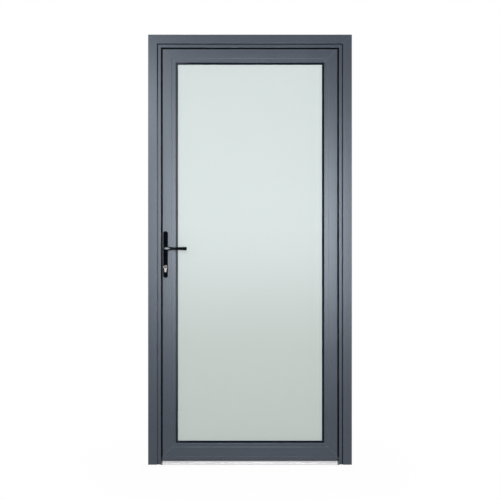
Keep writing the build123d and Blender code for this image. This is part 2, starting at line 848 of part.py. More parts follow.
def build_hinges():
    """Three hinges, each with two plates, a capped pin and two bushes."""
    bush_bore = hinge_pin_radius + pin_gap
    bush_radius = bush_bore + bush_wall
    half = hinge_height / 2
    leaf_half_knuckle = hinge_leaf_knuckle / 2
    washer = bush_flange + seat_gap
    pins = []
    bushes = []
    for name, z in zip(("bottom", "middle", "top"), hinge_heights):
        frame_part = hinge_plate(1, z)
        for low, high in ((-half, -leaf_half_knuckle - washer), (leaf_half_knuckle + washer, half)):
            frame_part += knuckle(1, bush_bore, z + low, z + high)
        save(f"hinge_frame_{name}", frame_part)
        leaf_part = hinge_plate(-1, z)
        leaf_part += knuckle(-1, bush_radius, z - leaf_half_knuckle, z + leaf_half_knuckle)
        save(f"hinge_leaf_{name}", leaf_part)
        pin = along_z(Circle(hinge_pin_radius), hinge_x, hinge_y, z - half, z + half)
        for end in (z + half, z - half - pin_cap_height):
            cap = along_z(Circle(pin_cap_radius), hinge_x, hinge_y, end, end + pin_cap_height)
            pin += cap
        pins.append(pin)
        tube = Circle(bush_radius) - Circle(bush_bore)
        flange = Circle(bush_flange_radius) - Circle(bush_bore)
        for side in (-1, 1):
            rim = z + side * leaf_half_knuckle
            inner_end = z + side * seat_gap
            outer_end = rim + side * bush_flange
            bush = along_z(tube, hinge_x, hinge_y, min(rim, inner_end), max(rim, inner_end))
            bush += along_z(flange, hinge_x, hinge_y, min(rim, outer_end), max(rim, outer_end))
            bushes.append(bush)
    save("hinge_pins", *pins)
    save("hinge_bushes", *bushes)
    save("hinge_leaf_screws", *screw_set(hinge_screw_places(-1), hinge_screw_size))


# Lock
def cylinder_outline(gap):
    """Front view of the profile cylinder, a circle with a narrow lobe below."""
    lobe = cylinder_lobe_width / 2
    lobe_z = cylinder_radius - cylinder_height + lobe
    outline = Circle(cylinder_radius + gap) + Pos(0, lobe_z) * Circle(lobe + gap)
    return outline + rectangle_between((-lobe - gap, lobe_z), (lobe + gap, 0))


def faceplate_screw_places():
    """Where the faceplate's two screws enter, and the long one that holds the cylinder."""
    heights = (faceplate_bottom + faceplate_screw_inset, faceplate_top - faceplate_screw_inset)
    ends = [Plane(origin=(-leaf_half, hardware_center_y, z), z_dir=(-1, 0, 0)) for z in heights]
    return ends, [Plane(origin=(-leaf_half, hardware_center_y, cylinder_fixing_z), z_dir=(-1, 0, 0))]


def build_lock():
    front_y = hardware_center_y - case_thickness / 2
    back_y = hardware_center_y + case_thickness / 2
    back_x = case_front_x + case_depth
    case = box_between((case_front_x, front_y, case_bottom), (back_x, back_y, case_top))
    room_low = (case_front_x + case_wall, front_y + case_wall, case_bottom + case_wall)
    room_high = (back_x - case_wall, back_y - case_wall, case_top - case_wall)
    case -= box_between(room_low, room_high)
    case -= along_y(Circle(follower_radius + pin_gap), lock_x, lever_z, front_y, back_y)
    case -= along_y(cylinder_outline(seat_gap), lock_x, cylinder_z, front_y, back_y)
    latch_cut = slot_prism(
        latch_height + seat_gap, latch_thickness + seat_gap, latch_z, -leaf_half, room_low[0]
    )
    bolt_cut = slot_prism(
        deadbolt_height + seat_gap, deadbolt_thickness + seat_gap, deadbolt_z, -leaf_half, room_low[0]
    )
    ends, fixing = faceplate_screw_places()
    save("lock_case", with_holes(case - latch_cut - bolt_cut, fixing, cylinder_screw_size))
    outline = SlotOverall(faceplate_top - faceplate_bottom, faceplate_width, rotation=90)
    middle_z = (faceplate_top + faceplate_bottom) / 2
    faceplate = along_x(outline, hardware_center_y, middle_z, -leaf_half, case_front_x)
    faceplate = with_holes(faceplate - latch_cut - bolt_cut, ends, lock_screw_size)
    save("lock_faceplate", with_holes(faceplate, fixing, cylinder_screw_size))
    screws = screw_set(ends, lock_screw_size) + screw_set(fixing, cylinder_screw_size)
    save("lock_screws", *screws)


def build_cylinder():
    low = leaf_front_y - plate_thickness - cylinder_proud
    high = rear_y + plate_thickness + cylinder_proud
    body = along_y(cylinder_outline(0), lock_x, cylinder_z, low, high)
    slot_low = hardware_center_y - cam_slot_width / 2
    slot_high = hardware_center_y + cam_slot_width / 2
    body -= along_y(Circle(cam_radius + seat_gap), lock_x, cylinder_z, slot_low, slot_high)
    body -= along_y(Circle(plug_radius + pin_gap), lock_x, cylinder_z, low, high)
    fixing = faceplate_screw_places()[1]
    save("cylinder_body", with_holes(body, fixing, cylinder_screw_size))
    keyway = Rectangle(keyway_width, keyway_height)
    plugs = []
    for end, inner, mouth in ((low, slot_low, low + keyway_depth), (high, slot_high, high - keyway_depth)):
        plug = along_y(Circle(plug_radius), lock_x, cylinder_z, min(end, inner), max(end, inner))
        plug -= along_y(keyway, lock_x, cylinder_z, min(end, mouth), max(end, mouth))
        plugs.append(plug)
    save("cylinder_plugs", *plugs)
    cam_half = cam_width / 2
    lobe = rectangle_between((-cam_lobe_width / 2, 0), (cam_lobe_width / 2, cam_radius))
    outline = Circle(cam_hub_radius) + (lobe & Circle(cam_radius))
    cam = along_y(
        outline, lock_x, cylinder_z, hardware_center_y - cam_half, hardware_center_y + cam_half
    )
    save("cylinder_cam", cam)


def build_follower():
    """The hub that the spindle turns, with a lug that pushes the latch tail back."""
    tip = follower_lug_reach
    half = follower_lug_width / 2
    lug = rectangle_between((-half, 0), (half, tip - half)) + Pos(0, tip - half) * Circle(half)
    hub = Circle(follower_radius) - Rectangle(spindle_width + fit_gap, spindle_width + fit_gap)
    square = Rectangle(spindle_width + fit_gap, spindle_width + fit_gap)
    thickness = case_thickness / 2
    lug_half = thickness - case_wall - seat_gap
    follower = along_y(
        hub, lock_x, lever_z, hardware_center_y - thickness, hardware_center_y + thickness
    )
    arm = Rot(0, 0, follower_lean) * (lug - Circle(follower_radius - half)) - square
    follower += along_y(
        arm, lock_x, lever_z, hardware_center_y - lug_half, hardware_center_y + lug_half
    )
    save("follower", follower)


def build_bolts():
    """Latch with its sloped nose and tail, its spring, and the deadbolt, drawn in at rest."""
    nose_x = -leaf_half - latch_throw
    head_end = nose_x + latch_head_length
    half_y = latch_thickness / 2
    nose = Polygon(
        (nose_x, half_y),
        (nose_x + latch_throw - hardware_slot_depth / 2, -half_y),
        (head_end, -half_y),
        (head_end, half_y),
        align=None,
    )
    low_z = latch_z - latch_height / 2
    high_z = latch_z + latch_height / 2
    latch = along_z(nose, 0, hardware_center_y, low_z, high_z)
    tip_x = lock_x - (follower_lug_reach - follower_lug_width / 2) * sin_deg(follower_lean)
    finger_x = tip_x + follower_lug_width / 2 + follower_gap
    tail_half = latch_tail_thickness / 2
    tail_z = high_z - latch_tail_height
    tail_low = (head_end, hardware_center_y - tail_half, tail_z)
    latch += box_between(tail_low, (finger_x + latch_finger_width, hardware_center_y + tail_half, high_z))
    finger_z = tail_z - latch_finger_drop
    finger_low = (finger_x, hardware_center_y - tail_half, finger_z)
    latch += box_between(
        finger_low, (finger_x + latch_finger_width, hardware_center_y + tail_half, tail_z)
    )
    save("latch_bolt", latch)
    spring_start = finger_x + latch_finger_width + seat_gap
    spring_end = case_front_x + case_depth - case_wall - seat_gap
    spring_length = spring_end - spring_start - latch_spring_wire - latch_spring_wire
    coil = Helix(spring_length / latch_spring_turns, spring_length, latch_spring_radius)
    wire = Plane(origin=coil @ 0, z_dir=coil % 0) * Circle(latch_spring_wire)
    spring = sweep(wire, path=coil)
    place = Plane(
        origin=(spring_start + latch_spring_wire, hardware_center_y, high_z - latch_tail_height / 2),
        x_dir=(0, 1, 0),
        z_dir=(1, 0, 0),
    )
    save("latch_spring", place * spring)
    bolt_end = -leaf_half + deadbolt_length
    bolt = slot_prism(deadbolt_height, deadbolt_thickness, deadbolt_z, -leaf_half, bolt_end)
    save("deadbolt", chamfer(bolt.faces().sort_by(Axis.X)[0].edges(), deadbolt_edge))


def sin_deg(angle):
    """The sine of an angle in degrees."""
    return Vector(1, 0).rotate(Axis.Z, angle).Y


def strike_ends():
    """The lowest and highest points of the strike plate."""
    low = deadbolt_z - deadbolt_height / 2 - strike_margin
    high = latch_z + latch_height / 2 + strike_margin
    return low, high


def strike_screw_places():
    low, high = strike_ends()
    far_x = strike_x + strike_thickness
    heights = (low + strike_margin / 2, high - strike_margin / 2)
    return [Plane(origin=(far_x, hardware_center_y, z), z_dir=(1, 0, 0)) for z in heights]


def build_strike():
    """The strike plate in the lock jamb, open for the latch and the deadbolt."""
    low, high = strike_ends()
    outline = RectangleRounded(faceplate_width, high - low, strike_corner)
    far_x = strike_x + strike_thickness
    strike = along_x(outline, hardware_center_y, (low + high) / 2, strike_x, far_x)
    strike -= slot_prism(latch_height + wall, latch_thickness + wall, latch_z, strike_x, far_x)
    strike -= slot_prism(deadbolt_height + wall, deadbolt_thickness + wall, deadbolt_z, strike_x, far_x)
    save("strike_plate", with_holes(strike, strike_screw_places(), lock_screw_size))
    screws = screw_set(strike_screw_places(), lock_screw_size)
    screws += screw_set(hinge_screw_places(1), hinge_screw_size)
    save("frame_hardware_screws", *screws)


# Handle
def handle_plate():
    """The long plate of the viewed side, round at both ends and softened at its front edge."""
    face_y = leaf_front_y - plate_thickness
    outline = SlotOverall(plate_length, plate_width, rotation=90)
    middle_z = (plate_top + plate_bottom) / 2
    plate = along_y(outline, lock_x, middle_z, face_y, leaf_front_y)
    plate = fillet(plate.faces().sort_by(Axis.Y)[0].edges(), plate_edge)
    hollow_out = SlotOverall(
        plate_length - plate_wall - plate_wall, plate_width - plate_wall - plate_wall, rotation=90
    )
    room = along_y(hollow_out, lock_x, middle_z, face_y + plate_wall + plate_edge, leaf_front_y)
    posts = along_y(Circle(lever_neck_radius + plate_wall), lock_x, lever_z, face_y, leaf_front_y)
    for z in (plate_top - handle_screw_inset, plate_bottom + handle_screw_inset):
        post = Circle(handle_screw_radius + plate_wall)
        posts += along_y(post, lock_x, z, face_y, leaf_front_y)
    plate -= room - posts
    plate -= along_y(Circle(lever_neck_radius + pin_gap), lock_x, lever_z, face_y, leaf_front_y)
    plate -= along_y(cylinder_outline(seat_gap), lock_x, cylinder_z, face_y, leaf_front_y)
    return plate


def lever():
    """A neck that leaves the plate, turns through an elbow and runs out as a waisted, flat-faced grip."""
    start_y = leaf_front_y - plate_thickness + lever_seat
    grip_y = leaf_front_y - plate_thickness - lever_standoff
    turn_y = grip_y + lever_bend
    line = Line((0, start_y), (0, turn_y))
    arc = JernArc(start=(0, turn_y), tangent=(0, -1), radius=lever_bend, arc_size=lever_bend_angle)
    start_plane = Plane(origin=(0, start_y, 0), x_dir=(1, 0, 0), z_dir=(0, -1, 0))
    neck = sweep(start_plane * Circle(lever_neck_radius), path=line + arc)
    stations = (
        (lever_waist_place, lever_waist_height, lever_waist_depth),
        (lever_grip_place, lever_grip_height, lever_grip_depth),
        (lever_length, lever_grip_height, lever_grip_depth),
    )
    sections = [
        Plane(origin=(x, grip_y, 0), x_dir=(0, 0, 1), z_dir=(1, 0, 0))
        * Rot(0, 0, lever_lean_angle)
        * RectangleRounded(height, depth, lever_corner)
        for x, height, depth in stations
    ]
    elbow_end = Plane(origin=(lever_bend, grip_y, 0), x_dir=(0, 0, 1), z_dir=(1, 0, 0))
    sections.insert(0, elbow_end * Circle(lever_neck_radius))
    body = neck + loft(sections)
    body = fillet(body.faces().sort_by(Axis.X)[-1].edges(), lever_tip_radius)
    socket = Rectangle(spindle_width + fit_gap, spindle_width + fit_gap)
    socket_end = -spindle_half_length - seat_gap
    body -= along_y(socket, 0, 0, socket_end, start_y)
    return Pos(lock_x, 0, lever_z) * body


def build_handle():
    plate = handle_plate()
    rear_plate = mirror(plate, about=Plane.XZ)
    screws = []
    face_y = rear_y + plate_thickness
    for z in (plate_top - handle_screw_inset, plate_bottom + handle_screw_inset):
        bore = along_y(Circle(handle_screw_radius + fit_gap), lock_x, z, rear_y, face_y)
        sink = along_y(
            Circle(handle_screw_head_radius + fit_gap), lock_x, z, face_y - handle_screw_head, face_y
        )
        rear_plate = rear_plate - bore - sink
        blind = leaf_front_y - plate_thickness + plate_wall
        plate -= along_y(Circle(handle_screw_radius + fit_gap), lock_x, z, blind, leaf_front_y)
        shank_end = blind + seat_gap
        screw = along_y(Circle(handle_screw_radius), lock_x, z, shank_end, face_y - handle_screw_head)
        screw += along_y(
            Circle(handle_screw_head_radius), lock_x, z, face_y - handle_screw_head, face_y
        )
        screws.append(screw)
    save("handle_plate_outside", plate)
    save("handle_plate_inside", rear_plate)
    save("handle_screws", *screws)
    grip = lever()
    save("lever_outside", grip)
    save("lever_inside", mirror(grip, about=Plane.XZ))
    bar = Rectangle(spindle_width, spindle_width)
    save("spindle", along_y(bar, lock_x, lever_z, -spindle_half_length, spindle_half_length))


build_frame()
build_threshold()
build_leaf_shells()
build_drip()
build_glazing()
build_hinges()
build_lock()
build_strike()
build_cylinder()
build_follower()
build_bolts()
build_handle()
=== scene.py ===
"""The looks of a glazed aluminium entrance door: finishes, small fittings, floor, light and camera."""

import json
import logging
import math
from dataclasses import dataclass, field, replace
from enum import Enum

import bmesh
import bpy
import numpy as np
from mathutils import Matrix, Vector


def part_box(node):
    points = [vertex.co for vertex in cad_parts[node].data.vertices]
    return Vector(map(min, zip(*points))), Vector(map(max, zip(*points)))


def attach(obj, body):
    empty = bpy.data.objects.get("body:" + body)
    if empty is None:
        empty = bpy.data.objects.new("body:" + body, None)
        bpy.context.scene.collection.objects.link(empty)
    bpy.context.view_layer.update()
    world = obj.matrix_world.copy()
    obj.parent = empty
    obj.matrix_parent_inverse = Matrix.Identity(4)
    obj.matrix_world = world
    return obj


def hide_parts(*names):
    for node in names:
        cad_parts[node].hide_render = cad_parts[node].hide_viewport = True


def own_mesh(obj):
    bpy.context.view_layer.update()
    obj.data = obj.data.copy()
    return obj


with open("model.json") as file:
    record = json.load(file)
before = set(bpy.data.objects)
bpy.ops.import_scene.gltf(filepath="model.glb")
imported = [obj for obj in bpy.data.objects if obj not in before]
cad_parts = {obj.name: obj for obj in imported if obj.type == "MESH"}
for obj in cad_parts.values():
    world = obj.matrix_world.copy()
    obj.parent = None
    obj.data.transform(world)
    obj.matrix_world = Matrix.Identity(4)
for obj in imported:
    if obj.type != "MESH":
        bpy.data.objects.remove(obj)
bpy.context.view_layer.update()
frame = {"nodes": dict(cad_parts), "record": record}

log = logging.getLogger("door")

Colour = tuple[float, float, float]
Triple = tuple[float, float, float]
Sources = dict[int | str, object]
Material = bpy.types.Material
Node = bpy.types.Node
Output = bpy.types.NodeSocket
Piece = bpy.types.Object
Tree = bpy.types.NodeTree

FULL_TURN = 2.0 * np.pi

# The colour sockets of a mixing node, by number
FIRST_COLOUR, SECOND_COLOUR, MIXED_COLOUR = 6, 7, 2


class Axis(Enum):
    """The way a fastener's head faces."""

    TO_HINGES = (1.0, 0.0, 0.0)
    TO_LOCK = (-1.0, 0.0, 0.0)
    TO_ROOM = (0.0, 1.0, 0.0)


class Body(Enum):
    """The moving bodies that new pieces ride on."""

    FRAME = "frame"
    LEAF = "leaf"


class Socket(Enum):
    """The kinds of value that a shader group takes and gives."""

    NUMBER = "NodeSocketFloat"
    COLOUR = "NodeSocketColor"
    VECTOR = "NodeSocketVector"


class NodeBench:
    """Lays out shader nodes in one tree and joins their sockets."""

    def __init__(self, tree: Tree) -> None:
        """Works on the given tree."""
        self.tree = tree

    @classmethod
    def cleared(cls, owner: Material | bpy.types.World) -> "NodeBench":
        """Empties the node tree of a material or a world.

        Args:
            owner: whose tree it is.

        Returns:
            A bench on the empty tree.
        """
        owner.use_nodes = True
        owner.node_tree.nodes.clear()
        return cls(owner.node_tree)

    def add(self, kind: str, sources: Sources | None = None, **settings: object) -> Node:
        """Adds a node and feeds it.

        Args:
            kind: the node's type name.
            sources: input names or numbers to sockets or values.
            settings: attributes to set on it.

        Returns:
            The new node.
        """
        node = self.tree.nodes.new(kind)
        for key, value in settings.items():
            setattr(node, key, value)
        return self.fill(node, sources or {})

    def fill(self, node: Node, sources: Sources) -> Node:
        """Joins sockets to a node's inputs, or sets the inputs to plain values.

        Args:
            node: the node that is fed.
            sources: input names or numbers to sockets or values.

        Returns:
            The same node.
        """
        for key, source in sources.items():
            if isinstance(source, Output):
                self.tree.links.new(source, node.inputs[key])
            else:
                node.inputs[key].default_value = source
        return node

    def group(self, tree: Tree, sources: Sources) -> Node:
        """Adds a shader group and feeds it."""
        return self.add("ShaderNodeGroup", sources, node_tree=tree)

    def step(self, operation: str, first: object, second: object) -> Output:
        """Works out one arithmetic step, such as MULTIPLY, on two sockets or numbers."""
        return self.add("ShaderNodeMath", {0: first, 1: second}, operation=operation).outputs[0]

    def vector_step(self, operation: str, first: object, second: object) -> Output:
        """Works out one step on two places, part by part."""
        return self.add("ShaderNodeVectorMath", {0: first, 1: second}, operation=operation).outputs["Vector"]

    def length(self, vector: object) -> Output:
        """Works out how long a vector is."""
        return self.add("ShaderNodeVectorMath", {0: vector}, operation="LENGTH").outputs["Value"]

    def upward(self, vector: object) -> Output:
        """Takes the upward part of a vector."""
        return self.add("ShaderNodeSeparateXYZ", {0: vector}).outputs["Z"]

    def span(self, value: object, low: float, high: float, start: float, end: float) -> Output:
        """Carries a value from one span to another with a smooth step."""
        sources = {"Value": value, "From Min": low, "From Max": high, "To Min": start, "To Max": end}
        return self.add("ShaderNodeMapRange", sources, interpolation_type="SMOOTHSTEP").outputs["Result"]

    def blend(self, share: object, first: object, second: object, kind: str = "MIX") -> Output:
        """Mixes two colours, with a share of the second."""
        sources = {"Factor": share, FIRST_COLOUR: first, SECOND_COLOUR: second}
        return self.add("ShaderNodeMix", sources, data_type="RGBA", blend_type=kind).outputs[MIXED_COLOUR]

    def noise(self, place: object, stretch: object, detail: float) -> Output:
        """Makes noise of one cycle per unit of a place that is stretched first."""
        sources = {"Vector": self.vector_step("MULTIPLY", place, stretch), "Scale": 1.0, "Detail": detail}
        return self.add("ShaderNodeTexNoise", sources).outputs["Fac"]

    def own_place(self) -> Output:
        """Gives the object's own coordinates."""
        return self.add("ShaderNodeTexCoord").outputs["Object"]

    def mixed(self, share: object, first: Node, second: Node) -> Node:
        """Mixes two shaders, with a share of the second."""
        return self.add("ShaderNodeMixShader", {0: share, 1: first.outputs[0], 2: second.outputs[0]})

    def show(self, shader: Node, kind: str = "ShaderNodeOutputMaterial") -> None:
        """Joins a shader to the tree's output."""
        self.add(kind, {"Surface": shader.outputs[0]})


@dataclass
class Effects:
    """Shader groups that several finishes share, each built once."""

    fine_detail: float = 3.0
    broad_stretch: Triple = (3.1, 3.1, 3.1)
    broad_detail: float = 2.0
    dust_colour: Colour = (0.42, 0.41, 0.38)
    dust_stretch: Triple = (38.0, 38.0, 38.0)
    dust_detail: float = 4.0
    dust_roughness: float = 0.3
    dust_rise: tuple[float, float] = (0.5, 0.95)
    splash_height: float = 0.18
    splash_share: float = 0.35
    # the painted edge highlight: its colour, and the lean of a rounded normal over which it fades in
    edge_highlight_colour: Colour = (0.62, 0.66, 0.72)
    edge_highlight_lean: tuple[float, float] = (0.72, 0.99)

    def __post_init__(self) -> None:
        """Builds the groups."""
        self.grain = self._grain()
        self.dust = self._dust()
        self.painted_edge_highlight = self._edge_highlight()

    @staticmethod
    def _open(
        name: str, takes: dict[str, Socket], gives: dict[str, Socket],
    ) -> tuple[NodeBench, Node, Node]:
        """Starts a group.

        Args:
            name: the group's name.
            takes: input names to socket kinds.
            gives: output names to socket kinds.

        Returns:
            Its bench, its input node and its output node.
        """
        tree = bpy.data.node_groups.new(name, "ShaderNodeTree")
        for way, sockets in (("INPUT", takes), ("OUTPUT", gives)):
            for label, kind in sockets.items():
                tree.interface.new_socket(label, in_out=way, socket_type=kind.value)
        bench = NodeBench(tree)
        return bench, bench.add("NodeGroupInput"), bench.add("NodeGroupOutput")

    def _grain(self) -> Tree:
        """Builds the grain: noise on a stretched place varies colour, roughness and height.

        Returns:
            The group's tree.
        """
        bench, given, result = self._open(
            "surface_grain",
            {"Place": Socket.VECTOR, "Stretch": Socket.VECTOR, "Colour": Socket.COLOUR,
             "Spread": Socket.NUMBER, "Roughness": Socket.NUMBER, "Roughness Spread": Socket.NUMBER},
            {"Colour": Socket.COLOUR, "Roughness": Socket.NUMBER, "Height": Socket.NUMBER},
        )
        take = given.outputs
        fine = bench.noise(take["Place"], take["Stretch"], self.fine_detail)
        broad = bench.noise(take["Place"], self.broad_stretch, self.broad_detail)
        swing = bench.step("SUBTRACT", bench.step("MULTIPLY", fine, 2.0), 1.0)
        both = bench.step("ADD", swing, bench.step("SUBTRACT", broad, 0.5))
        share = bench.step("ADD", bench.step("MULTIPLY", both, take["Spread"]), 1.0)
        grey = bench.add("ShaderNodeCombineXYZ", {"X": share, "Y": share, "Z": share})
        rough = bench.step("ADD", bench.step("MULTIPLY", both, take["Roughness Spread"]), take["Roughness"])
        tinted = bench.blend(1.0, take["Colour"], grey.outputs[0], "MULTIPLY")
        bench.fill(result, {"Colour": tinted, "Roughness": rough, "Height": fine})
        return bench.tree

    def _dust(self) -> Tree:
        """Builds the dust: it lies where a face looks up, and a thin splash fades out above the floor.

        Returns:
            The group's tree.
        """
        bench, given, result = self._open(
            "settled_dust",
            {"Place": Socket.VECTOR, "Colour": Socket.COLOUR, "Roughness": Socket.NUMBER,
             "Amount": Socket.NUMBER},
            {"Colour": Socket.COLOUR, "Roughness": Socket.NUMBER},
        )
        take = given.outputs
        up = bench.upward(bench.add("ShaderNodeNewGeometry").outputs["Normal"])
        level = bench.span(up, *self.dust_rise, 0.0, 1.0)
        splash = bench.span(bench.upward(take["Place"]), 0.0, self.splash_height, self.splash_share, 0.0)
        patches = bench.noise(take["Place"], self.dust_stretch, self.dust_detail)
        cover = bench.step("MULTIPLY", bench.step("ADD", level, splash), patches)
        share = bench.step("MULTIPLY", cover, take["Amount"])
        rough = bench.step("ADD", take["Roughness"], bench.step("MULTIPLY", share, self.dust_roughness))
        colour = bench.blend(share, take["Colour"], (*self.dust_colour, 1.0))
        bench.fill(result, {"Colour": colour, "Roughness": rough})
        return bench.tree

    def _edge_highlight(self) -> Tree:
        """Builds the painted edge highlight: where a rounded normal leans away from the face, an edge runs
        and is painted paler, standing for the light that a rounded edge catches.

        Returns:
            The group's tree.
        """
        bench, given, result = self._open(
            "painted_edge_highlights",
            {"Round Normal": Socket.VECTOR, "Colour": Socket.COLOUR, "Amount": Socket.NUMBER},
            {"Colour": Socket.COLOUR},
        )
        flat = bench.add("ShaderNodeNewGeometry").outputs["True Normal"]
        pair = {0: given.outputs["Round Normal"], 1: flat}
        lean = bench.add("ShaderNodeVectorMath", pair, operation="DOT_PRODUCT").outputs["Value"]
        edge = bench.span(lean, *self.edge_highlight_lean, 1.0, 0.0)
        share = bench.step("MULTIPLY", edge, given.outputs["Amount"])
        bench.fill(result, {"Colour": bench.blend(share, given.outputs["Colour"], (*self.edge_highlight_colour, 1.0))})
        return bench.tree


@dataclass(frozen=True)
class Finish:
    """An opaque finish: a grained colour, rounded edges with a painted highlight along them, some dust and at
    most one patch of painted light.
    """

    name: str
    colour: Colour
    roughness: float
    metallic: float = 0.0
    specular: float = 0.5
    tint: Colour = (1.0, 1.0, 1.0)
    stretch: Triple = (900.0, 900.0, 900.0)
    spread: float = 0.06
    roughness_spread: float = 0.05
    bump: float = 0.15
    bump_depth: float = 0.0001
    edge: float = 0.0006
    edge_samples: int = 4
    # how strongly a highlight is painted along rounded edges
    painted_edge_highlight: float = 0.0
    dust: float = 0.0
    # painted light: a paler patch round a place, glossier where coated; by default a painted highlight at the
    # outside lever's elbow
    painted_light: float = 0.0
    painted_light_colour: Colour = (0.30, 0.36, 0.40)
    painted_light_place: Triple = (-0.401, -0.088, 1.051)
    painted_light_reach: Triple = (0.022, 0.012, 0.0075)
    painted_light_core: float = 0.1
    painted_light_coat: float = 0.0
    painted_light_roughness: float = 0.28

    def _painted_light_share(self, bench: NodeBench, place: Output) -> Output:
        """Works out where the patch of painted light lies: full in its core, and fading to nought at its
        reach.

        Args:
            bench: the material's bench.
            place: the object's own coordinates.

        Returns:
            The painted light's share of the surface.
        """
        away = bench.vector_step("SUBTRACT", place, self.painted_light_place)
        scaled = bench.vector_step("MULTIPLY", away, tuple(1.0 / reach for reach in self.painted_light_reach))
        return bench.span(bench.length(scaled), self.painted_light_core, 1.0, self.painted_light, 0.0)

    def material(self, effects: Effects) -> Material:
        """Builds the material.

        Args:
            effects: the shared shader groups.

        Returns:
            The finished material.
        """
        material = bpy.data.materials.new(self.name)
        bench = NodeBench.cleared(material)
        shader = bench.add("ShaderNodeBsdfPrincipled")
        place = bench.own_place()
        grain = bench.group(effects.grain, {
            "Place": place, "Stretch": self.stretch, "Colour": (*self.colour, 1.0), "Spread": self.spread,
            "Roughness": self.roughness, "Roughness Spread": self.roughness_spread,
        }).outputs
        bevel = bench.add("ShaderNodeBevel", {"Radius": self.edge}, samples=self.edge_samples)
        rounded = bevel.outputs["Normal"]
        bump = bench.add("ShaderNodeBump", {
            "Strength": self.bump, "Distance": self.bump_depth, "Height": grain["Height"], "Normal": rounded,
        })
        colour, rough = grain["Colour"], grain["Roughness"]
        # painted highlight: paler colour along rounded edges
        if self.painted_edge_highlight:
            highlighted = bench.group(effects.painted_edge_highlight, {"Round Normal": rounded, "Colour": colour, "Amount": self.painted_edge_highlight})
            colour = highlighted.outputs["Colour"]
        # painted light: paler colour and a coat within the patch round its place
        if self.painted_light:
            share = self._painted_light_share(bench, place)
            colour = bench.blend(share, colour, (*self.painted_light_colour, 1.0))
            coat = bench.step("MULTIPLY", share, self.painted_light_coat)
            bench.fill(shader, {"Coat Weight": coat, "Coat Roughness": self.painted_light_roughness})
        if self.dust:
            dusty = bench.group(effects.dust, {
                "Place": place, "Colour": colour, "Roughness": rough, "Amount": self.dust,
            })
            colour, rough = dusty.outputs["Colour"], dusty.outputs["Roughness"]
        bench.show(bench.fill(shader, {
            "Base Color": colour, "Roughness": rough, "Metallic": self.metallic,
            "Specular IOR Level": self.specular, "Specular Tint": (*self.tint, 1.0),
            "Normal": bump.outputs["Normal"],
        }))
        return material


@dataclass(frozen=True)
class EtchedGlass:
    """Acid-etched glass: milky and smooth outside, with painted light that makes it paler above the middle of
    the pane than below, standing for a bright backdrop and a darker floor seen through it.
    """

    name: str = "etched_glass"
    # painted light: the tint above stands for a bright backdrop seen through the glass, the tint below for a
    # darker floor
    painted_backdrop_tint: Colour = (0.575, 0.635, 0.63)
    painted_floor_tint: Colour = (0.46, 0.51, 0.485)
    fade_low: float = 0.52
    fade_high: float = 1.22
    mottle: Triple = (1400.0, 1400.0, 1400.0)
    spread: float = 0.012
    roughness: float = 0.55
    roughness_spread: float = 0.06
    transmission: float = 0.18
    ior: float = 1.5
    specular: float = 0.3
    bump: float = 0.08
    bump_depth: float = 0.00005

    def material(self, effects: Effects) -> Material:
        """Builds the material: a smooth step in height between two tints, which is painted light, and a fine
        etched mottle.

        Args:
            effects: the shared shader groups.

        Returns:
            The finished material.
        """
        material = bpy.data.materials.new(self.name)
        bench = NodeBench.cleared(material)
        place = bench.own_place()
        # painted light: paler with height across the middle of the pane
        rise = bench.span(bench.upward(place), self.fade_low, self.fade_high, 0.0, 1.0)
        grain = bench.group(effects.grain, {
            "Place": place, "Stretch": self.mottle, "Spread": self.spread,
            "Colour": bench.blend(rise, (*self.painted_floor_tint, 1.0), (*self.painted_backdrop_tint, 1.0)),
            "Roughness": self.roughness, "Roughness Spread": self.roughness_spread,
        }).outputs
        bump = bench.add("ShaderNodeBump", {
            "Strength": self.bump, "Distance": self.bump_depth, "Height": grain["Height"],
        })
        bench.show(bench.add("ShaderNodeBsdfPrincipled", {
            "Base Color": grain["Colour"], "Roughness": grain["Roughness"], "IOR": self.ior,
            "Transmission Weight": self.transmission, "Specular IOR Level": self.specular,
            "Normal": bump.outputs["Normal"],
        }))
        return material


@dataclass(frozen=True)
class FloatGlass:
    """Clear float glass with a faint green body and a little haze where dust has dried on it."""

    name: str = "float_glass"
    colour: Colour = (0.92, 0.97, 0.95)
    haze: Triple = (26.0, 26.0, 26.0)
    spread: float = 0.02
    roughness: float = 0.02
    roughness_spread: float = 0.012
    transmission: float = 1.0
    ior: float = 1.52

    def material(self, effects: Effects) -> Material:
        """Builds the material.

        Args:
            effects: the shared shader groups.

        Returns:
            The finished material.
        """
        material = bpy.data.materials.new(self.name)
        bench = NodeBench.cleared(material)
        grain = bench.group(effects.grain, {
            "Place": bench.own_place(), "Stretch": self.haze, "Colour": (*self.colour, 1.0),
            "Spread": self.spread, "Roughness": self.roughness, "Roughness Spread": self.roughness_spread,
        }).outputs
        bench.show(bench.add("ShaderNodeBsdfPrincipled", {
            "Base Color": grain["Colour"], "Roughness": grain["Roughness"], "IOR": self.ior,
            "Transmission Weight": self.transmission,
        }))
        return material


AnyFinish = Finish | EtchedGlass | FloatGlass
SpecialLooks = tuple[tuple[str, Finish], ...]

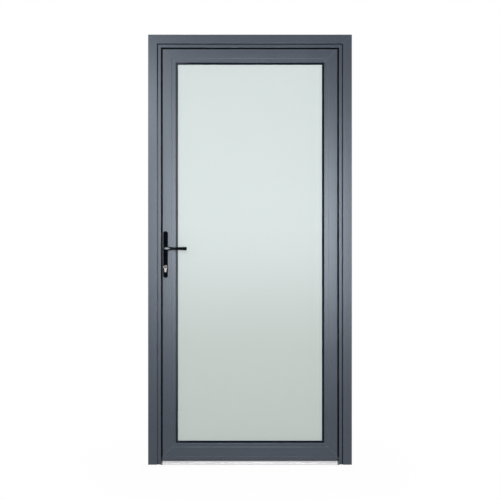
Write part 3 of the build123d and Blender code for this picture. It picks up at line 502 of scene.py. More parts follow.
FINISHES: dict[str, AnyFinish] = {
    # The slate coat and the satin black have a painted highlight along their rounded edges
    "slate_coating": Finish(
        "slate_powder_coat", (0.018, 0.023, 0.033), 0.28, specular=0.6, tint=(0.84, 0.94, 1.06),
        stretch=(1500.0, 1500.0, 1500.0), spread=0.05, roughness_spread=0.04, bump=0.2, bump_depth=0.00006,
        edge=0.0014, painted_edge_highlight=0.4, dust=0.05),
    "anodised_silver": Finish(
        "anodised_silver", (0.64, 0.64, 0.66), 0.22, metallic=0.6, stretch=(4.0, 2600.0, 2600.0),
        spread=0.05, roughness_spread=0.07, bump=0.2, bump_depth=0.00005, dust=0.12),
    "black_seal": Finish(
        "black_seal_rubber", (0.004, 0.006, 0.013), 0.55, specular=0.06, tint=(0.7, 0.85, 1.1),
        stretch=(700.0, 700.0, 700.0), spread=0.25, roughness_spread=0.08, bump=0.3),
    # painted shade: the strips are black polyamide made darker still, standing for the shade in the gap round
    # the leaf
    "black_polyamide": Finish(
        "glass_filled_strip_painted_shade", (0.0012, 0.0018, 0.0035), 0.7, specular=0.03, tint=(0.7, 0.85, 1.1),
        stretch=(30.0, 900.0, 30.0), spread=0.3),
    "grey_plastic": Finish(
        "moulded_grey", (0.045, 0.050, 0.058), 0.5, stretch=(1200.0, 1200.0, 1200.0), bump=0.3, dust=0.2),
    "frosted_glass": EtchedGlass(),
    "clear_glass": FloatGlass(),
    "spacer_bar": Finish(
        "spacer_aluminium", (0.56, 0.57, 0.58), 0.36, metallic=1.0, stretch=(8.0, 900.0, 8.0)),
    "cast_aluminium": Finish(
        "cast_aluminium", (0.60, 0.60, 0.62), 0.5, metallic=1.0, stretch=(600.0, 600.0, 600.0), bump=0.5),
    "black_metal": Finish(
        "satin_black_coat", (0.003, 0.0034, 0.004), 0.3, specular=0.4, tint=(0.8, 0.95, 1.1),
        stretch=(1800.0, 1800.0, 1800.0), spread=0.1, bump=0.12, bump_depth=0.00004, edge=0.0007, painted_edge_highlight=0.04,
        dust=0.03),
    "nickel": Finish(
        "matt_nickel", (0.32, 0.31, 0.295), 0.16, metallic=1.0, stretch=(900.0, 30.0, 900.0), spread=0.08),
    "stainless": Finish(
        "brushed_stainless", (0.60, 0.60, 0.61), 0.32, metallic=1.0, stretch=(1800.0, 1800.0, 14.0),
        spread=0.10, roughness_spread=0.10),
    "zinc_steel": Finish(
        "zinc_plate", (0.56, 0.57, 0.60), 0.34, metallic=1.0, stretch=(260.0, 260.0, 260.0), spread=0.12,
        roughness_spread=0.08),
    "white_plastic": Finish(
        "bush_plastic", (0.70, 0.70, 0.68), 0.42, stretch=(800.0, 800.0, 800.0), spread=0.03),
}

# The outside plate and lever are a deeper black, and the lever has a painted highlight at its elbow
PLATE_FINISH = replace(
    FINISHES["black_metal"], name="deep_black_plate", colour=(0.0008, 0.001, 0.0016), roughness=0.15,
    specular=0.015)
LEVER_FINISH = replace(PLATE_FINISH, name="deep_black_lever", roughness=0.25, specular=0.04, painted_light=0.95)

# The plugs are a much darker nickel than the cylinder body
PLUG_FINISH = Finish(
    "dark_nickel_plug", (0.03, 0.028, 0.027), 0.34, metallic=1.0, stretch=(900.0, 900.0, 60.0), spread=0.14)

# Painted light: on the lock side the groove's dark strip of painted shade and the outer glass seal are
# painted paler and glossier, standing for light that falls on them there
SEAL_WITH_PAINTED_LIGHT = replace(
    FINISHES["black_seal"], painted_light=1.0, painted_light_colour=(0.018, 0.023, 0.033), painted_light_coat=1.0)
PAINTED_GROOVE_SHADE = replace(
    SEAL_WITH_PAINTED_LIGHT, name="painted_groove_shade", painted_light_place=(-0.45, -0.031, 0.5), painted_light_reach=(0.1, 0.1, 1.5),
    painted_light_core=0.7)
GLASS_SEAL_PAINTED_LIGHT = replace(
    SEAL_WITH_PAINTED_LIGHT, name="glass_seal_painted_light", painted_light_place=(-0.363, -0.024, 1.2), painted_light_reach=(0.1, 0.1, 1.3),
    painted_light_core=0.2)


class Wardrobe:
    """Holds one material for each finish, made when it is first asked for."""

    def __init__(self, effects: Effects) -> None:
        """Keeps the shared shader groups."""
        self.effects = effects
        self.made: dict[str, Material] = {}

    def material(self, slot: str) -> Material:
        """Gives the material of one of the record's slots."""
        return self.special(FINISHES[slot])

    def special(self, finish: AnyFinish) -> Material:
        """Gives the material of a finish, made once.

        Args:
            finish: the finish to build it from.

        Returns:
            Its material.
        """
        if finish.name not in self.made:
            self.made[finish.name] = finish.material(self.effects)
        return self.made[finish.name]


def mesh_piece(name: str, points: np.ndarray, faces: list[np.ndarray], smooth: bool) -> Piece:
    """Puts arrays of points and faces into a mesh object at the origin.

    Args:
        name: the piece's name.
        points: an array of places, three to a row, in metres.
        faces: arrays of point numbers, one face to a row.
        smooth: whether its faces are shaded smooth.

    Returns:
        The new object.
    """
    mesh = bpy.data.meshes.new(name)
    mesh.from_pydata(points, [], [row for block in faces for row in block.tolist()])
    mesh.polygons.foreach_set("use_smooth", np.full(len(mesh.polygons), smooth))
    work = bmesh.new()
    work.from_mesh(mesh)
    bmesh.ops.recalc_face_normals(work, faces=work.faces[:])
    work.to_mesh(mesh)
    work.free()
    mesh.update()
    piece = bpy.data.objects.new(name, mesh)
    bpy.context.scene.collection.objects.link(piece)
    return piece


def joined_rings(rings: int, count: int, closed: bool = False) -> np.ndarray:
    """Numbers the squares that join each ring of points to the next.

    Args:
        rings: how many rings there are.
        count: how many points each ring has.
        closed: whether the last ring is joined to the first.

    Returns:
        Point numbers, four to a row.
    """
    i, j = np.meshgrid(np.arange(rings if closed else rings - 1), np.arange(count), indexing="ij")
    near, far = i * count, ((i + 1) % rings) * count
    k = (j + 1) % count
    return np.stack([near + j, near + k, far + k, far + j], axis=-1).reshape(-1, 4)


def turned_to(points: np.ndarray, axis: Triple) -> np.ndarray:
    """Turns points that face +Z so that they face another way.

    The new axes are the given one and two at right angles to it, taken by cross products.

    Args:
        points: an array of places.
        axis: the way that +Z becomes.

    Returns:
        The turned places.
    """
    out = np.array(axis)
    side = np.cross((0.0, 0.0, 1.0), out)
    side = side / np.linalg.norm(side)
    return points @ np.stack([side, np.cross(out, side), out])


@dataclass
class Screw:
    """A screw with a cross recess in its head and a thread on its shank."""

    head_radius: float
    radius: float
    length: float
    head_depth: float
    conical: bool = True
    pitch: float = 0.0011
    thread_share: float = 0.45
    recess_share: float = 0.56
    recess_depth: float = 0.0011
    bar_share: float = 0.15
    bar_slope: float = 1.5
    rim_share: float = 0.16
    shank_share: float = 0.94
    tip_share: float = 0.3
    head_rings: int = 12
    rings_to_pitch: float = 4.0
    least_rings: int = 8
    plain_rings: int = 2
    turns: int = 40

    def surface(self) -> tuple[np.ndarray, list[np.ndarray]]:
        """Works out the screw as a grid of rings and angles, with its head at z = 0 and its tip below.

        A ring's radius and depth follow the outline. On the head the depth grows by a cross: the
        nearer a place is to either of two crossed bars, the deeper it is. On the shank the radius
        is cut back by a triangle wave of the depth and the angle, which is a thread.

        Returns:
            The points, and the faces as squares and as triangles at both ends.
        """
        top = np.linspace(0.0, 1.0, self.head_rings)[1:] * self.head_radius
        count = max(int(self.length / self.pitch * self.rings_to_pitch), self.least_rings)
        shank = np.linspace(self.head_depth, self.length * self.shank_share, count)
        neck = [] if self.conical else [self.head_radius]
        reach = np.concatenate([top, neck, np.full(count, self.radius), [self.radius * self.tip_share]])
        depth = np.concatenate([np.zeros(len(top)), [self.head_depth] * len(neck), shank, [self.length]])
        ring = np.arange(len(reach))
        r, a = np.meshgrid(reach, np.linspace(0.0, FULL_TURN, self.turns, endpoint=False), indexing="ij")
        bars = np.minimum(np.abs(r * np.cos(a)), np.abs(r * np.sin(a)))
        half = self.head_radius * self.bar_share
        inside = np.clip((half * self.bar_slope - bars) / half, 0.0, 1.0)
        rim = self.head_radius * self.rim_share
        within = np.clip((self.head_radius * self.recess_share - r) / rim, 0.0, 1.0)
        on_head = ring[:, None] < len(top)
        d = depth[:, None] + np.where(on_head, inside * within * self.recess_depth, 0.0)
        wave = np.abs(((d / self.pitch + a / FULL_TURN) % 1.0) * 2.0 - 1.0)
        threaded = (ring >= len(top) + len(neck) + self.plain_rings) & (ring < len(reach) - 1)
        r = np.where(threaded[:, None], r - wave * self.pitch * self.thread_share, r)
        grid = np.stack([r * np.cos(a), r * np.sin(a), -d], axis=-1).reshape(-1, 3)
        ends = np.array([[0.0, 0.0, -self.recess_depth], [0.0, 0.0, -self.length]])
        around = np.arange(self.turns)
        after = (around + 1) % self.turns
        last = len(grid) - self.turns
        head = np.stack([np.full(self.turns, len(grid)), around, after], axis=-1)
        tip = np.stack([np.full(self.turns, len(grid) + 1), last + after, last + around], axis=-1)
        return np.concatenate([grid, ends]), [joined_rings(len(reach), self.turns), head, tip]


ScrewPlace = tuple[Triple, Axis, Screw]


@dataclass
class ScrewSet:
    """All the screws that stand for one solid, on one body."""

    node: str
    body: Body
    places: list[ScrewPlace]

    def build(self, wardrobe: Wardrobe) -> Piece:
        """Joins the turned and moved screws into one piece.

        Args:
            wardrobe: where the finish comes from.

        Returns:
            The new piece.
        """
        blocks, faces, start = [], [], 0
        for place, axis, screw in self.places:
            points, parts = screw.surface()
            blocks.append(turned_to(points, axis.value) + np.array(place))
            faces += [part + start for part in parts]
            start += len(points)
        piece = mesh_piece(f"{self.node}_cut", np.concatenate(blocks), faces, False)
        piece.data.materials.append(wardrobe.material("zinc_steel"))
        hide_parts(self.node)
        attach(piece, self.body.value)
        return piece


@dataclass
class SealRun:
    """A rubber seal, or a dark strip of painted shade: one outline carried round the edge of a frame or leaf,
    with mitred corners.
    """

    name: str
    body: Body
    outline: np.ndarray
    half: float
    bottom: float
    top: float
    closed: bool = True
    node: str = ""
    finish: Finish = FINISHES["black_seal"]

    def build(self, wardrobe: Wardrobe) -> Piece:
        """Carries the outline along the sides.

        An outline point is a reach from the outer edge and a depth. At each corner of the path the
        reach is taken off the width and the height alike, which makes the mitre; at the open foot of
        a three-sided run it is taken off the width alone. Squares join each corner's points to the
        next corner's, and an open run is closed at its feet.

        Args:
            wardrobe: where the finish comes from.

        Returns:
            The new piece.
        """
        reach, depth = self.outline[:, 0], self.outline[:, 1]
        foot = self.bottom + (reach if self.closed else np.zeros_like(reach))
        left, right, head = reach - self.half, self.half - reach, self.top - reach
        corners = ((left, foot), (left, head), (right, head), (right, foot))
        points = np.concatenate([np.stack([x, depth, z], axis=-1) for x, z in corners])
        count = len(self.outline)
        faces = [joined_rings(len(corners), count, self.closed)]
        if not self.closed:
            end = np.arange(count)[None, :]
            faces += [end, end + (len(corners) - 1) * count]
        piece = mesh_piece(self.name, points, faces, False)
        piece.data.materials.append(wardrobe.special(self.finish))
        if self.node:
            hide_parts(self.node)
        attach(piece, self.body.value)
        return piece


@dataclass
class BrushSeal:
    """The brush under the leaf: a back strip and rows of fine bristles that lean a little."""

    rows: int = 4
    spacing: float = 0.0016
    thickness: float = 0.00045
    margin_blades: int = 3
    back_height: float = 0.0038
    pile_width: float = 0.0034
    lean: float = 0.0006
    cross_share: float = 0.6
    tip_share: float = 0.5
    tip_rise: float = 0.0005
    seed: int = 7

    def _blades(self, low: np.ndarray, high: np.ndarray) -> np.ndarray:
        """Works out the bristles.

        Each is a thin four-sided blade from the strip to a point near the threshold. Its foot lies on a
        grid of rows and spacings, and its tip is the foot moved down and aside by a seeded random lean.

        Args:
            low: the brush's lowest corner.
            high: its highest corner.

        Returns:
            The corners of all the blades, eight to a blade.
        """
        first, last = low[0] + self.spacing, high[0] - self.spacing
        count = int((high[0] - low[0]) / self.spacing)
        x, row = np.meshgrid(np.linspace(first, last, count), np.arange(self.rows), indexing="ij")
        width = self.pile_width - self.thickness * self.margin_blades
        y = (low[1] + high[1]) / 2 + (row / (self.rows - 1) - 0.5) * width
        level = np.full_like(x, high[2] - self.back_height)
        foot = np.stack([x + row * self.spacing / self.rows, y, level], axis=-1).reshape(-1, 3)
        chance = np.random.default_rng(self.seed)
        tip = foot.copy()
        tip[:, :2] += chance.uniform(-self.lean, self.lean, (len(foot), 2)) * (1.0, self.cross_share)
        tip[:, 0] = np.clip(tip[:, 0], first, last)
        tip[:, 2] = low[2] + chance.uniform(0.0, self.tip_rise, len(foot))
        square = np.array([[-1.0, -1.0, 0.0], [1.0, -1.0, 0.0], [1.0, 1.0, 0.0], [-1.0, 1.0, 0.0]])
        corners = square * (self.thickness / 2)
        ends = [foot[:, None, :] + corners, tip[:, None, :] + corners * self.tip_share]
        return np.concatenate(ends, axis=1).reshape(-1, 3)

    def build(self, wardrobe: Wardrobe) -> Piece:
        """Builds the strip and the bristles, each a box of six squares on eight corners.

        Args:
            wardrobe: where the finish comes from.

        Returns:
            The new piece.
        """
        low, high = (np.array(corner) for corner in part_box("bottom_brush_seal"))
        (x0, y0, _), (x1, y1, z1) = low, high
        around = ((x0, y0), (x1, y0), (x1, y1), (x0, y1))
        strip = np.array([[x, y, z] for z in (high[2] - self.back_height, z1) for x, y in around])
        points = np.concatenate([self._blades(low, high), strip])
        sides = np.array([[0, 4, 5, 1], [1, 5, 6, 2], [2, 6, 7, 3], [3, 7, 4, 0], [4, 7, 6, 5], [0, 1, 2, 3]])
        corners = sides.max() + 1
        faces = (np.arange(len(points) // corners)[:, None, None] * corners + sides).reshape(-1, 4)
        piece = mesh_piece("bottom_brush_bristles", points, [faces], False)
        piece.data.materials.append(wardrobe.material("black_seal"))
        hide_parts("bottom_brush_seal")
        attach(piece, Body.LEAF.value)
        return piece


@dataclass
class LatchSpring:
    """The wire spring behind the latch, which the latch shortens."""

    wire: float = 0.0007
    turns: int = 6
    travel: float = 0.0122
    closing: float = 0.6
    steps: int = 28
    sides: int = 10

    def build(self, wardrobe: Wardrobe) -> Piece:
        """Carries a circle along a helix.

        The helix runs along x at an even speed less a sine, so its end coils lie closer than its
        middle ones. Each ring of the wire is a circle in the plane of the helix radius and the x axis.

        Args:
            wardrobe: where the finish comes from.

        Returns:
            The new piece.
        """
        low, high = (np.array(corner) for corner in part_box("latch_spring"))
        middle = (low + high) / 2
        length = float(high[0] - low[0])
        share = np.linspace(0.0, 1.0, self.turns * self.steps + 1)
        eased = share - np.sin(FULL_TURN * share) / FULL_TURN * self.closing
        along = low[0] + self.wire + (length - 2.0 * self.wire) * eased
        angle = np.linspace(0.0, FULL_TURN, self.sides, endpoint=False)
        turn, side = np.meshgrid(FULL_TURN * self.turns * share, angle, indexing="ij")
        out = (high[2] - low[2]) / 2 - self.wire + self.wire * np.cos(side)
        x = along[:, None] + self.wire * np.sin(side)
        y, z = middle[1] + out * np.cos(turn), middle[2] + out * np.sin(turn)
        points = np.stack([x, y, z], axis=-1).reshape(-1, 3)
        end = np.arange(self.sides)[None, :]
        faces = [joined_rings(len(share), self.sides), end, end + len(points) - self.sides]
        piece = mesh_piece("latch_spring_coil", points, faces, True)
        piece.data.materials.append(wardrobe.material("zinc_steel"))
        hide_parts("latch_spring")
        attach(piece, Body.LEAF.value)
        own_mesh(piece)
        return piece


Makers = tuple[ScrewSet | SealRun | BrushSeal | LatchSpring, ...]


class SubAssembly:
    """Pieces that belong together: some keep their solids, and some are built anew."""

    solids: tuple[str, ...]
    special: SpecialLooks = ()

    def dress(self, wardrobe: Wardrobe) -> None:
        """Puts on each solid that is kept the finish of its slot, or one of its own.

        Args:
            wardrobe: where the finishes come from.
        """
        slots = {row["node"]: row["material_slot"] for row in frame["record"]["subparts"]}
        for node in self.solids:
            self.put(node, wardrobe.material(slots[node]))
        for node, finish in self.special:
            self.put(node, wardrobe.special(finish))

    def makers(self) -> Makers:
        """Lists what builds the new pieces; there is nothing unless a sub-assembly says so."""
        return ()

    def build(self, wardrobe: Wardrobe) -> list[Piece]:
        """Builds the new pieces in the order listed."""
        return [maker.build(wardrobe) for maker in self.makers()]

    @staticmethod
    def put(node: str, material: Material) -> None:
        """Puts one material on a solid and reports it.

        Args:
            node: the solid's name.
            material: what it is dressed in.
        """
        mesh = frame["nodes"][node].data
        mesh.materials.clear()
        mesh.materials.append(material)
        log.info("dressed %s in %s", node, material.name)


@dataclass
class DoorFrame(SubAssembly):
    """Two jambs and a head, with their strips, cleats, stop seal and strike plate, and a dark strip of
    painted shade in the face groove.
    """

    seal_place: float = 0.055
    bulb_half: float = 0.004
    bulb_points: int = 17
    lip_back: float = -0.0125
    bulb_tip: float = -0.0008
    foot_neck: float = 0.0011
    foot_half: float = 0.0025
    foot_lip: float = 0.0010
    foot_depth: float = 0.0028
    # the face groove, and the dark strip in it, which is painted shade
    groove_start: float = 0.0435
    groove_width: float = 0.0035
    groove_floor: float = -0.0295
    groove_play: float = 0.00005
    strip_height: float = 0.0014
    strip_bow: float = 0.0004
    strip_points: int = 11
    strike_inset: float = 0.020
    strike_screw: Screw = field(default_factory=lambda: Screw(0.0045, 0.0025, 0.010, 0.002))
    solids: tuple[str, ...] = (
        "frame_lock_jamb_outer", "frame_lock_jamb_inner", "frame_hinge_jamb_outer", "frame_hinge_jamb_inner",
        "frame_head_outer", "frame_head_inner", "frame_insulating_strips", "frame_corner_cleats",
        "strike_plate",
    )

    def _bulb(self) -> np.ndarray:
        """Works out the stop seal's outline: a half circle on straight sides, with a T-shaped foot.

        Returns:
            Reach and depth of each point, in order round the outline.
        """
        angle = np.linspace(0.0, np.pi, self.bulb_points)
        crown = np.stack([np.cos(angle), np.sin(angle)], axis=-1) * self.bulb_half
        crown = crown + (0.0, self.bulb_tip - self.bulb_half)
        lip, deep = self.lip_back - self.foot_lip, self.lip_back - self.foot_depth
        right = np.array([[self.foot_half, deep], [self.foot_half, lip], [self.foot_neck, lip],
                          [self.foot_neck, self.lip_back], [self.bulb_half, self.lip_back]])
        left = right[::-1] * (-1.0, 1.0)
        return np.concatenate([right, crown, left]) + (self.seal_place, 0.0)

    def _groove_shade_strip(self) -> np.ndarray:
        """Works out the outline of the dark strip in the face groove, which is painted shade: flat below,
        bowed by half a sine above.

        Returns:
            Reach and depth of each point, in order round the outline.
        """
        share = np.linspace(0.0, 1.0, self.strip_points)
        reach = self.groove_start + self.groove_play + (self.groove_width - 2.0 * self.groove_play) * share
        crest = self.groove_floor - self.strip_height - self.strip_bow * np.sin(np.pi * share)
        under = np.stack([reach[[-1, 0]], np.full(2, self.groove_floor)], axis=-1)
        return np.concatenate([np.stack([reach, crest], axis=-1), under])

    def strike_places(self) -> list[ScrewPlace]:
        """Finds the two screws of the strike plate, each an inset from one of its ends.

        Returns:
            Their places.
        """
        low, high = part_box("strike_plate")
        return [((high.x, (low.y + high.y) / 2, z), Axis.TO_HINGES, self.strike_screw)
                for z in (low.z + self.strike_inset, high.z - self.strike_inset)]

    def makers(self) -> Makers:
        """Lists the stop seal and, in the face groove, a dark strip of painted shade that is painted paler on
        the lock side.

        Returns:
            What builds them.
        """
        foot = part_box("frame_stop_gasket")[0].z
        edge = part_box("frame_head_outer")[1]
        return (
            SealRun("stop_seal", Body.FRAME, self._bulb(), edge.x, foot, edge.z, False, "frame_stop_gasket"),
            # painted shade: a dark strip in the face groove, painted paler on the lock side where light falls
            # on it
            SealRun("painted_groove_shade_strip", Body.FRAME, self._groove_shade_strip(), edge.x, 0.0, edge.z, False,
                    finish=PAINTED_GROOVE_SHADE),
        )


@dataclass
class Threshold(SubAssembly):
    """The silver threshold with its insulating core and end blocks."""

    solids: tuple[str, ...] = ("threshold_outer", "threshold_core", "threshold_inner", "threshold_end_blocks")


@dataclass
class Leaf(SubAssembly):
    """Two stiles and two rails, with their strips, cleats, drip profile and brush."""

    brush: BrushSeal = field(default_factory=BrushSeal)
    solids: tuple[str, ...] = (
        "leaf_lock_stile_outer", "leaf_lock_stile_inner", "leaf_hinge_stile_outer", "leaf_hinge_stile_inner",
        "leaf_top_rail_outer", "leaf_top_rail_inner", "leaf_bottom_rail_outer", "leaf_bottom_rail_inner",
        "leaf_insulating_strips", "leaf_corner_cleats", "drip_profile",
    )

    def makers(self) -> Makers:
        """Lists the brush."""
        return (self.brush,)


@dataclass
class Glazing(SubAssembly):
    """Two panes on setting blocks between a sloped outer seal and beads with an inner seal."""

    sight_edge: float = 0.084
    seal_reach: float = 0.010
    leg_back: float = -0.0262
    nose_front: float = -0.0217
    glass_front: float = -0.0205
    bulge: float = 0.0005
    bulge_points: int = 15
    heel_reach: float = 0.0751
    heel_front: float = -0.0280
    leg_inside: float = 0.0817
    inner_width: float = 0.009
    inner_crown: float = 0.0006
    crown_points: int = 9
    inner_foot: float = 0.004
    solids: tuple[str, ...] = (
        "glass_outer_pane", "glass_inner_pane", "glass_spacer", "setting_blocks", "glazing_beads_upright",
        "glazing_beads_level",
    )

    def _wedge(self) -> np.ndarray:
        """Works out the outer seal's outline: a heel behind the leg, and a slope that bulges by half a sine.

        Returns:
            Reach and depth of each point, in order round the outline.
        """
        share = np.linspace(0.0, 1.0, self.bulge_points)
        rise = self.nose_front - self.leg_back
        slope = self.leg_back + rise * share - self.bulge * np.sin(np.pi * share)
        face = np.stack([self.sight_edge + self.seal_reach * share, slope], axis=-1)
        heel = np.array([[self.heel_reach, self.heel_front], [self.leg_inside, self.heel_front],
                         [self.leg_inside, self.leg_back]])
        foot = np.array([[self.sight_edge + self.seal_reach, self.glass_front],
                         [self.heel_reach, self.glass_front]])
        return np.concatenate([heel, face, foot])

    def _pad(self) -> np.ndarray:
        """Works out the inner seal's outline: a strip with a foot, its sight side crowned by half a sine.

        Returns:
            Reach and depth of each point, in order round the outline.
        """
        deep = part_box("glazing_gasket_inner")[1].y
        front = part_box("glass_inner_pane")[1].y
        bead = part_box("glazing_beads_level")[0].y
        share = np.linspace(0.0, 1.0, self.crown_points)
        bow = self.sight_edge - self.inner_crown + self.inner_crown * np.sin(np.pi * share)
        sight = np.stack([bow, front + (bead - front) * share], axis=-1)
        back = self.sight_edge - self.inner_width
        middle = self.sight_edge - self.inner_width / 2
        near, far = middle + self.inner_foot / 2, middle - self.inner_foot / 2
        root = np.array([[near, bead], [near, deep], [far, deep], [far, bead], [back, bead], [back, front]])
        return np.concatenate([sight, root])

    def makers(self) -> Makers:
        """Lists the two seals round the glass.

        Returns:
            What builds them.
        """
        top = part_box("leaf_top_rail_inner")[1]
        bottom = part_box("leaf_bottom_rail_inner")[0].z
        return (
            # the outer glass seal is painted paler on the lock side, standing for light that falls on it
            # there
            SealRun("outer_glass_seal", Body.LEAF, self._wedge(), top.x, bottom, top.z, True,
                    "glazing_gasket_outer", GLASS_SEAL_PAINTED_LIGHT),
            SealRun("inner_glass_seal", Body.LEAF, self._pad(), top.x, bottom, top.z, True,
                    "glazing_gasket_inner"),
        )


@dataclass
class Hinges(SubAssembly):
    """Three hinges, and the screws of their plates."""

    strike_screws: list[ScrewPlace]
    screw: Screw = field(default_factory=lambda: Screw(0.005, 0.003, 0.009, 0.002))
    screw_rise: float = 0.036
    plate_half: float = 0.011
    plate_face: float = 0.0365
    solids: tuple[str, ...] = (
        "hinge_frame_top", "hinge_frame_middle", "hinge_frame_bottom", "hinge_leaf_top", "hinge_leaf_middle",
        "hinge_leaf_bottom", "hinge_pins", "hinge_bushes",
    )

    def places(self, side: Body) -> list[ScrewPlace]:
        """Finds two screws to each plate on one side.

        Args:
            side: the body that the plates are screwed to.

        Returns:
            Their places.
        """
        places = []
        for level in ("bottom", "middle", "top"):
            low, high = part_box(f"hinge_{side.value}_{level}")
            x = high.x - self.plate_half if side is Body.FRAME else low.x + self.plate_half
            for rise in (-self.screw_rise, self.screw_rise):
                places.append(((x, self.plate_face, (low.z + high.z) / 2 + rise), Axis.TO_ROOM, self.screw))
        return places

    def makers(self) -> Makers:
        """Lists the screws of the leaf's plates and, with the strike plate's, those of the frame's.

        Returns:
            What builds them.
        """
        return (
            ScrewSet("frame_hardware_screws", Body.FRAME, self.strike_screws + self.places(Body.FRAME)),
            ScrewSet("hinge_leaf_screws", Body.LEAF, self.places(Body.LEAF)),
        )


@dataclass
class LockSet(SubAssembly):
    """The lock case, its bolts, the cylinder and the faceplate with its screws."""

    end_screw: Screw = field(default_factory=lambda: Screw(0.0045, 0.0025, 0.010, 0.002))
    cylinder_screw: Screw = field(default_factory=lambda: Screw(0.0045, 0.0025, 0.035, 0.002))
    end_inset: float = 0.014
    spring: LatchSpring = field(default_factory=LatchSpring)
    cylinder_fixing: float = 0.9405
    solids: tuple[str, ...] = (
        "lock_case", "lock_faceplate", "latch_bolt", "deadbolt", "follower", "cylinder_body", "cylinder_cam",
    )
    special: SpecialLooks = (("cylinder_plugs", PLUG_FINISH),)

    def makers(self) -> Makers:
        """Lists the spring and the faceplate's screws: one at each end, and the cylinder's long one.

        Returns:
            What builds them.
        """
        low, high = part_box("lock_faceplate")
        middle = (low.y + high.y) / 2
        places = [((low.x, middle, z), Axis.TO_LOCK, self.end_screw)
                  for z in (low.z + self.end_inset, high.z - self.end_inset)]
        places.append(((low.x, middle, self.cylinder_fixing), Axis.TO_LOCK, self.cylinder_screw))
        return self.spring, ScrewSet("lock_screws", Body.LEAF, places)


@dataclass
class Handle(SubAssembly):
    """A plate and a lever on each side, the spindle between them and two through screws."""

    screw: Screw = field(default_factory=lambda: Screw(0.0042, 0.0025, 0.0802, 0.003, conical=False))
    screw_inset: float = 0.013
    solids: tuple[str, ...] = ("handle_plate_inside", "lever_inside", "spindle")
    special: SpecialLooks = (("handle_plate_outside", PLATE_FINISH), ("lever_outside", LEVER_FINISH))

    def makers(self) -> Makers:
        """Lists the through screws, an inset from each end of the inside plate.

        Returns:
            What builds them.
        """
        low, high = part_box("handle_plate_inside")
        places = [(((low.x + high.x) / 2, high.y, z), Axis.TO_ROOM, self.screw)
                  for z in (low.z + self.screw_inset, high.z - self.screw_inset)]
        return (ScrewSet("handle_screws", Body.LEAF, places),)


@dataclass(frozen=True)
class Lamp:
    """A flat lamp that hangs at a place and faces another."""

    name: str
    place: Triple
    aim: Triple
    width: float
    height: float
    power: float

    def build(self) -> None:
        """Hangs the lamp and turns it to its aim."""
        data = bpy.data.lights.new(self.name, "AREA")
        data.shape = "RECTANGLE"
        data.size, data.size_y, data.energy = self.width, self.height, self.power
        lamp = bpy.data.objects.new(self.name, data)
        x, y, z = np.array(self.aim) - np.array(self.place)
        lamp.location = self.place
        lamp.rotation_euler = (math.atan2(math.hypot(x, y), -z), 0.0, math.atan2(-x, y))
        bpy.context.scene.collection.objects.link(lamp)


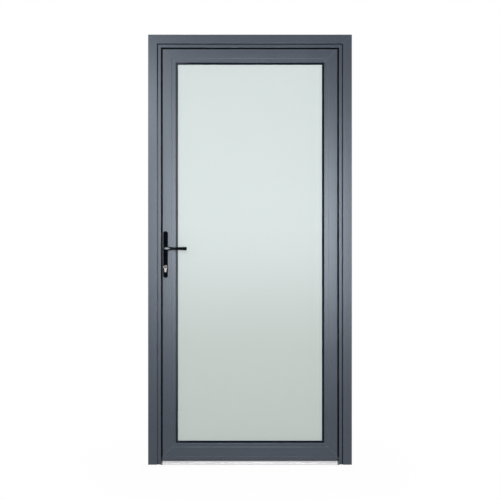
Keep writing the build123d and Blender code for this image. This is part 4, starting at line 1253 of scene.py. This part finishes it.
@dataclass
class Studio:
    """A pale floor, soft lamps before and behind the door, even light around it and the camera."""

    camera_place: Triple = (0.0, -4.5375, 1.0433)
    lens: float = 66.7
    sensor: float = 36.0
    floor_half: float = 30.0
    floor_colour: Colour = (0.90, 0.90, 0.90)
    floor_roughness: float = 0.9
    white: Colour = (1.0, 1.0, 1.0)
    white_share: float = 0.97
    white_start: float = 0.4
    white_end: float = 1.2
    room_light: float = 0.28
    lamps: tuple[Lamp, ...] = (
        Lamp("front_softbox", (0.06, -4.4, 1.26), (0.0, 0.0, 1.1), 0.9, 1.4, 118.0),
        Lamp("upper_softbox", (-1.3, -4.2, 2.45), (-0.45, 0.0, 1.7), 0.36, 0.6, 22.0),
        Lamp("left_strip", (-3.2, -1.6, 1.3), (-0.45, 0.0, 1.1), 0.4, 2.0, 22.0),
        Lamp("right_strip", (3.2, -1.6, 1.3), (0.45, 0.0, 1.1), 0.4, 2.0, 22.0),
        Lamp("rear_softbox", (0.0, 2.8, 4.4), (0.0, 0.0, 1.1), 1.4, 1.0, 60.0),
    )

    def build(self) -> None:
        """Makes the camera, the floor, the lamps and the light around."""
        self._camera()
        self._floor()
        for lamp in self.lamps:
            lamp.build()
        self._room()
        bpy.context.scene.view_settings.view_transform = "Standard"

    def _camera(self) -> None:
        """Sets the camera level, square to the door."""
        data = bpy.data.cameras.new("viewer")
        data.lens = self.lens
        data.sensor_width = self.sensor
        camera = bpy.data.objects.new("viewer", data)
        camera.location = self.camera_place
        camera.rotation_euler = (math.pi / 2, 0.0, 0.0)
        bpy.context.scene.collection.objects.link(camera)
        bpy.context.scene.camera = camera

    @staticmethod
    def _seen(bench: NodeBench) -> Output:
        """Tells where the eye, a reflection or a view through glass meets the surface.

        Args:
            bench: the bench of the material or world.

        Returns:
            A socket that is one there, else nought.
        """
        path = bench.add("ShaderNodeLightPath").outputs
        first = bench.step("MAXIMUM", path["Is Camera Ray"], path["Is Glossy Ray"])
        return bench.step("MAXIMUM", first, path["Is Transmission Ray"])

    def _floor(self) -> None:
        """Lays a wide floor that keeps the door's shadow and is white further off."""
        half = self.floor_half
        corners = np.array([[-half, -half, 0.0], [half, -half, 0.0], [half, half, 0.0], [-half, half, 0.0]])
        floor = mesh_piece("floor", corners, [np.array([[0, 1, 2, 3]])], False)
        material = bpy.data.materials.new("pale_floor")
        bench = NodeBench.cleared(material)
        plain = bench.add("ShaderNodeBsdfPrincipled", {
            "Base Color": (*self.floor_colour, 1.0), "Roughness": self.floor_roughness,
        })
        away = bench.length(bench.own_place())
        far = bench.span(away, self.white_start, self.white_end, self.white_share, 1.0)
        share = bench.step("MULTIPLY", far, self._seen(bench))
        glow = bench.add("ShaderNodeEmission", {"Color": (*self.white, 1.0)})
        bench.show(bench.mixed(share, plain, glow))
        floor.data.materials.append(material)

    def _room(self) -> None:
        """Gives even light around the door, and white where the surroundings are seen."""
        world = bpy.data.worlds.new("room")
        bench = NodeBench.cleared(world)
        around, seen = (
            bench.add("ShaderNodeBackground", {"Color": (*self.white, 1.0), "Strength": strength})
            for strength in (self.room_light, 1.0)
        )
        bench.show(bench.mixed(self._seen(bench), around, seen), "ShaderNodeOutputWorld")
        bpy.context.scene.world = world


def main() -> None:
    """Builds the studio, dresses the solids and adds the fine pieces."""
    logging.basicConfig(level=logging.INFO)
    Studio().build()
    wardrobe = Wardrobe(Effects())
    door_frame = DoorFrame()
    hinges = Hinges(door_frame.strike_places())
    for group in (door_frame, Threshold(), Leaf(), Glazing(), hinges, LockSet(), Handle()):
        group.dress(wardrobe)
        for piece in group.build(wardrobe):
            log.info("built %s with %d faces", piece.name, len(piece.data.polygons))


if __name__ == "__main__":
    main()
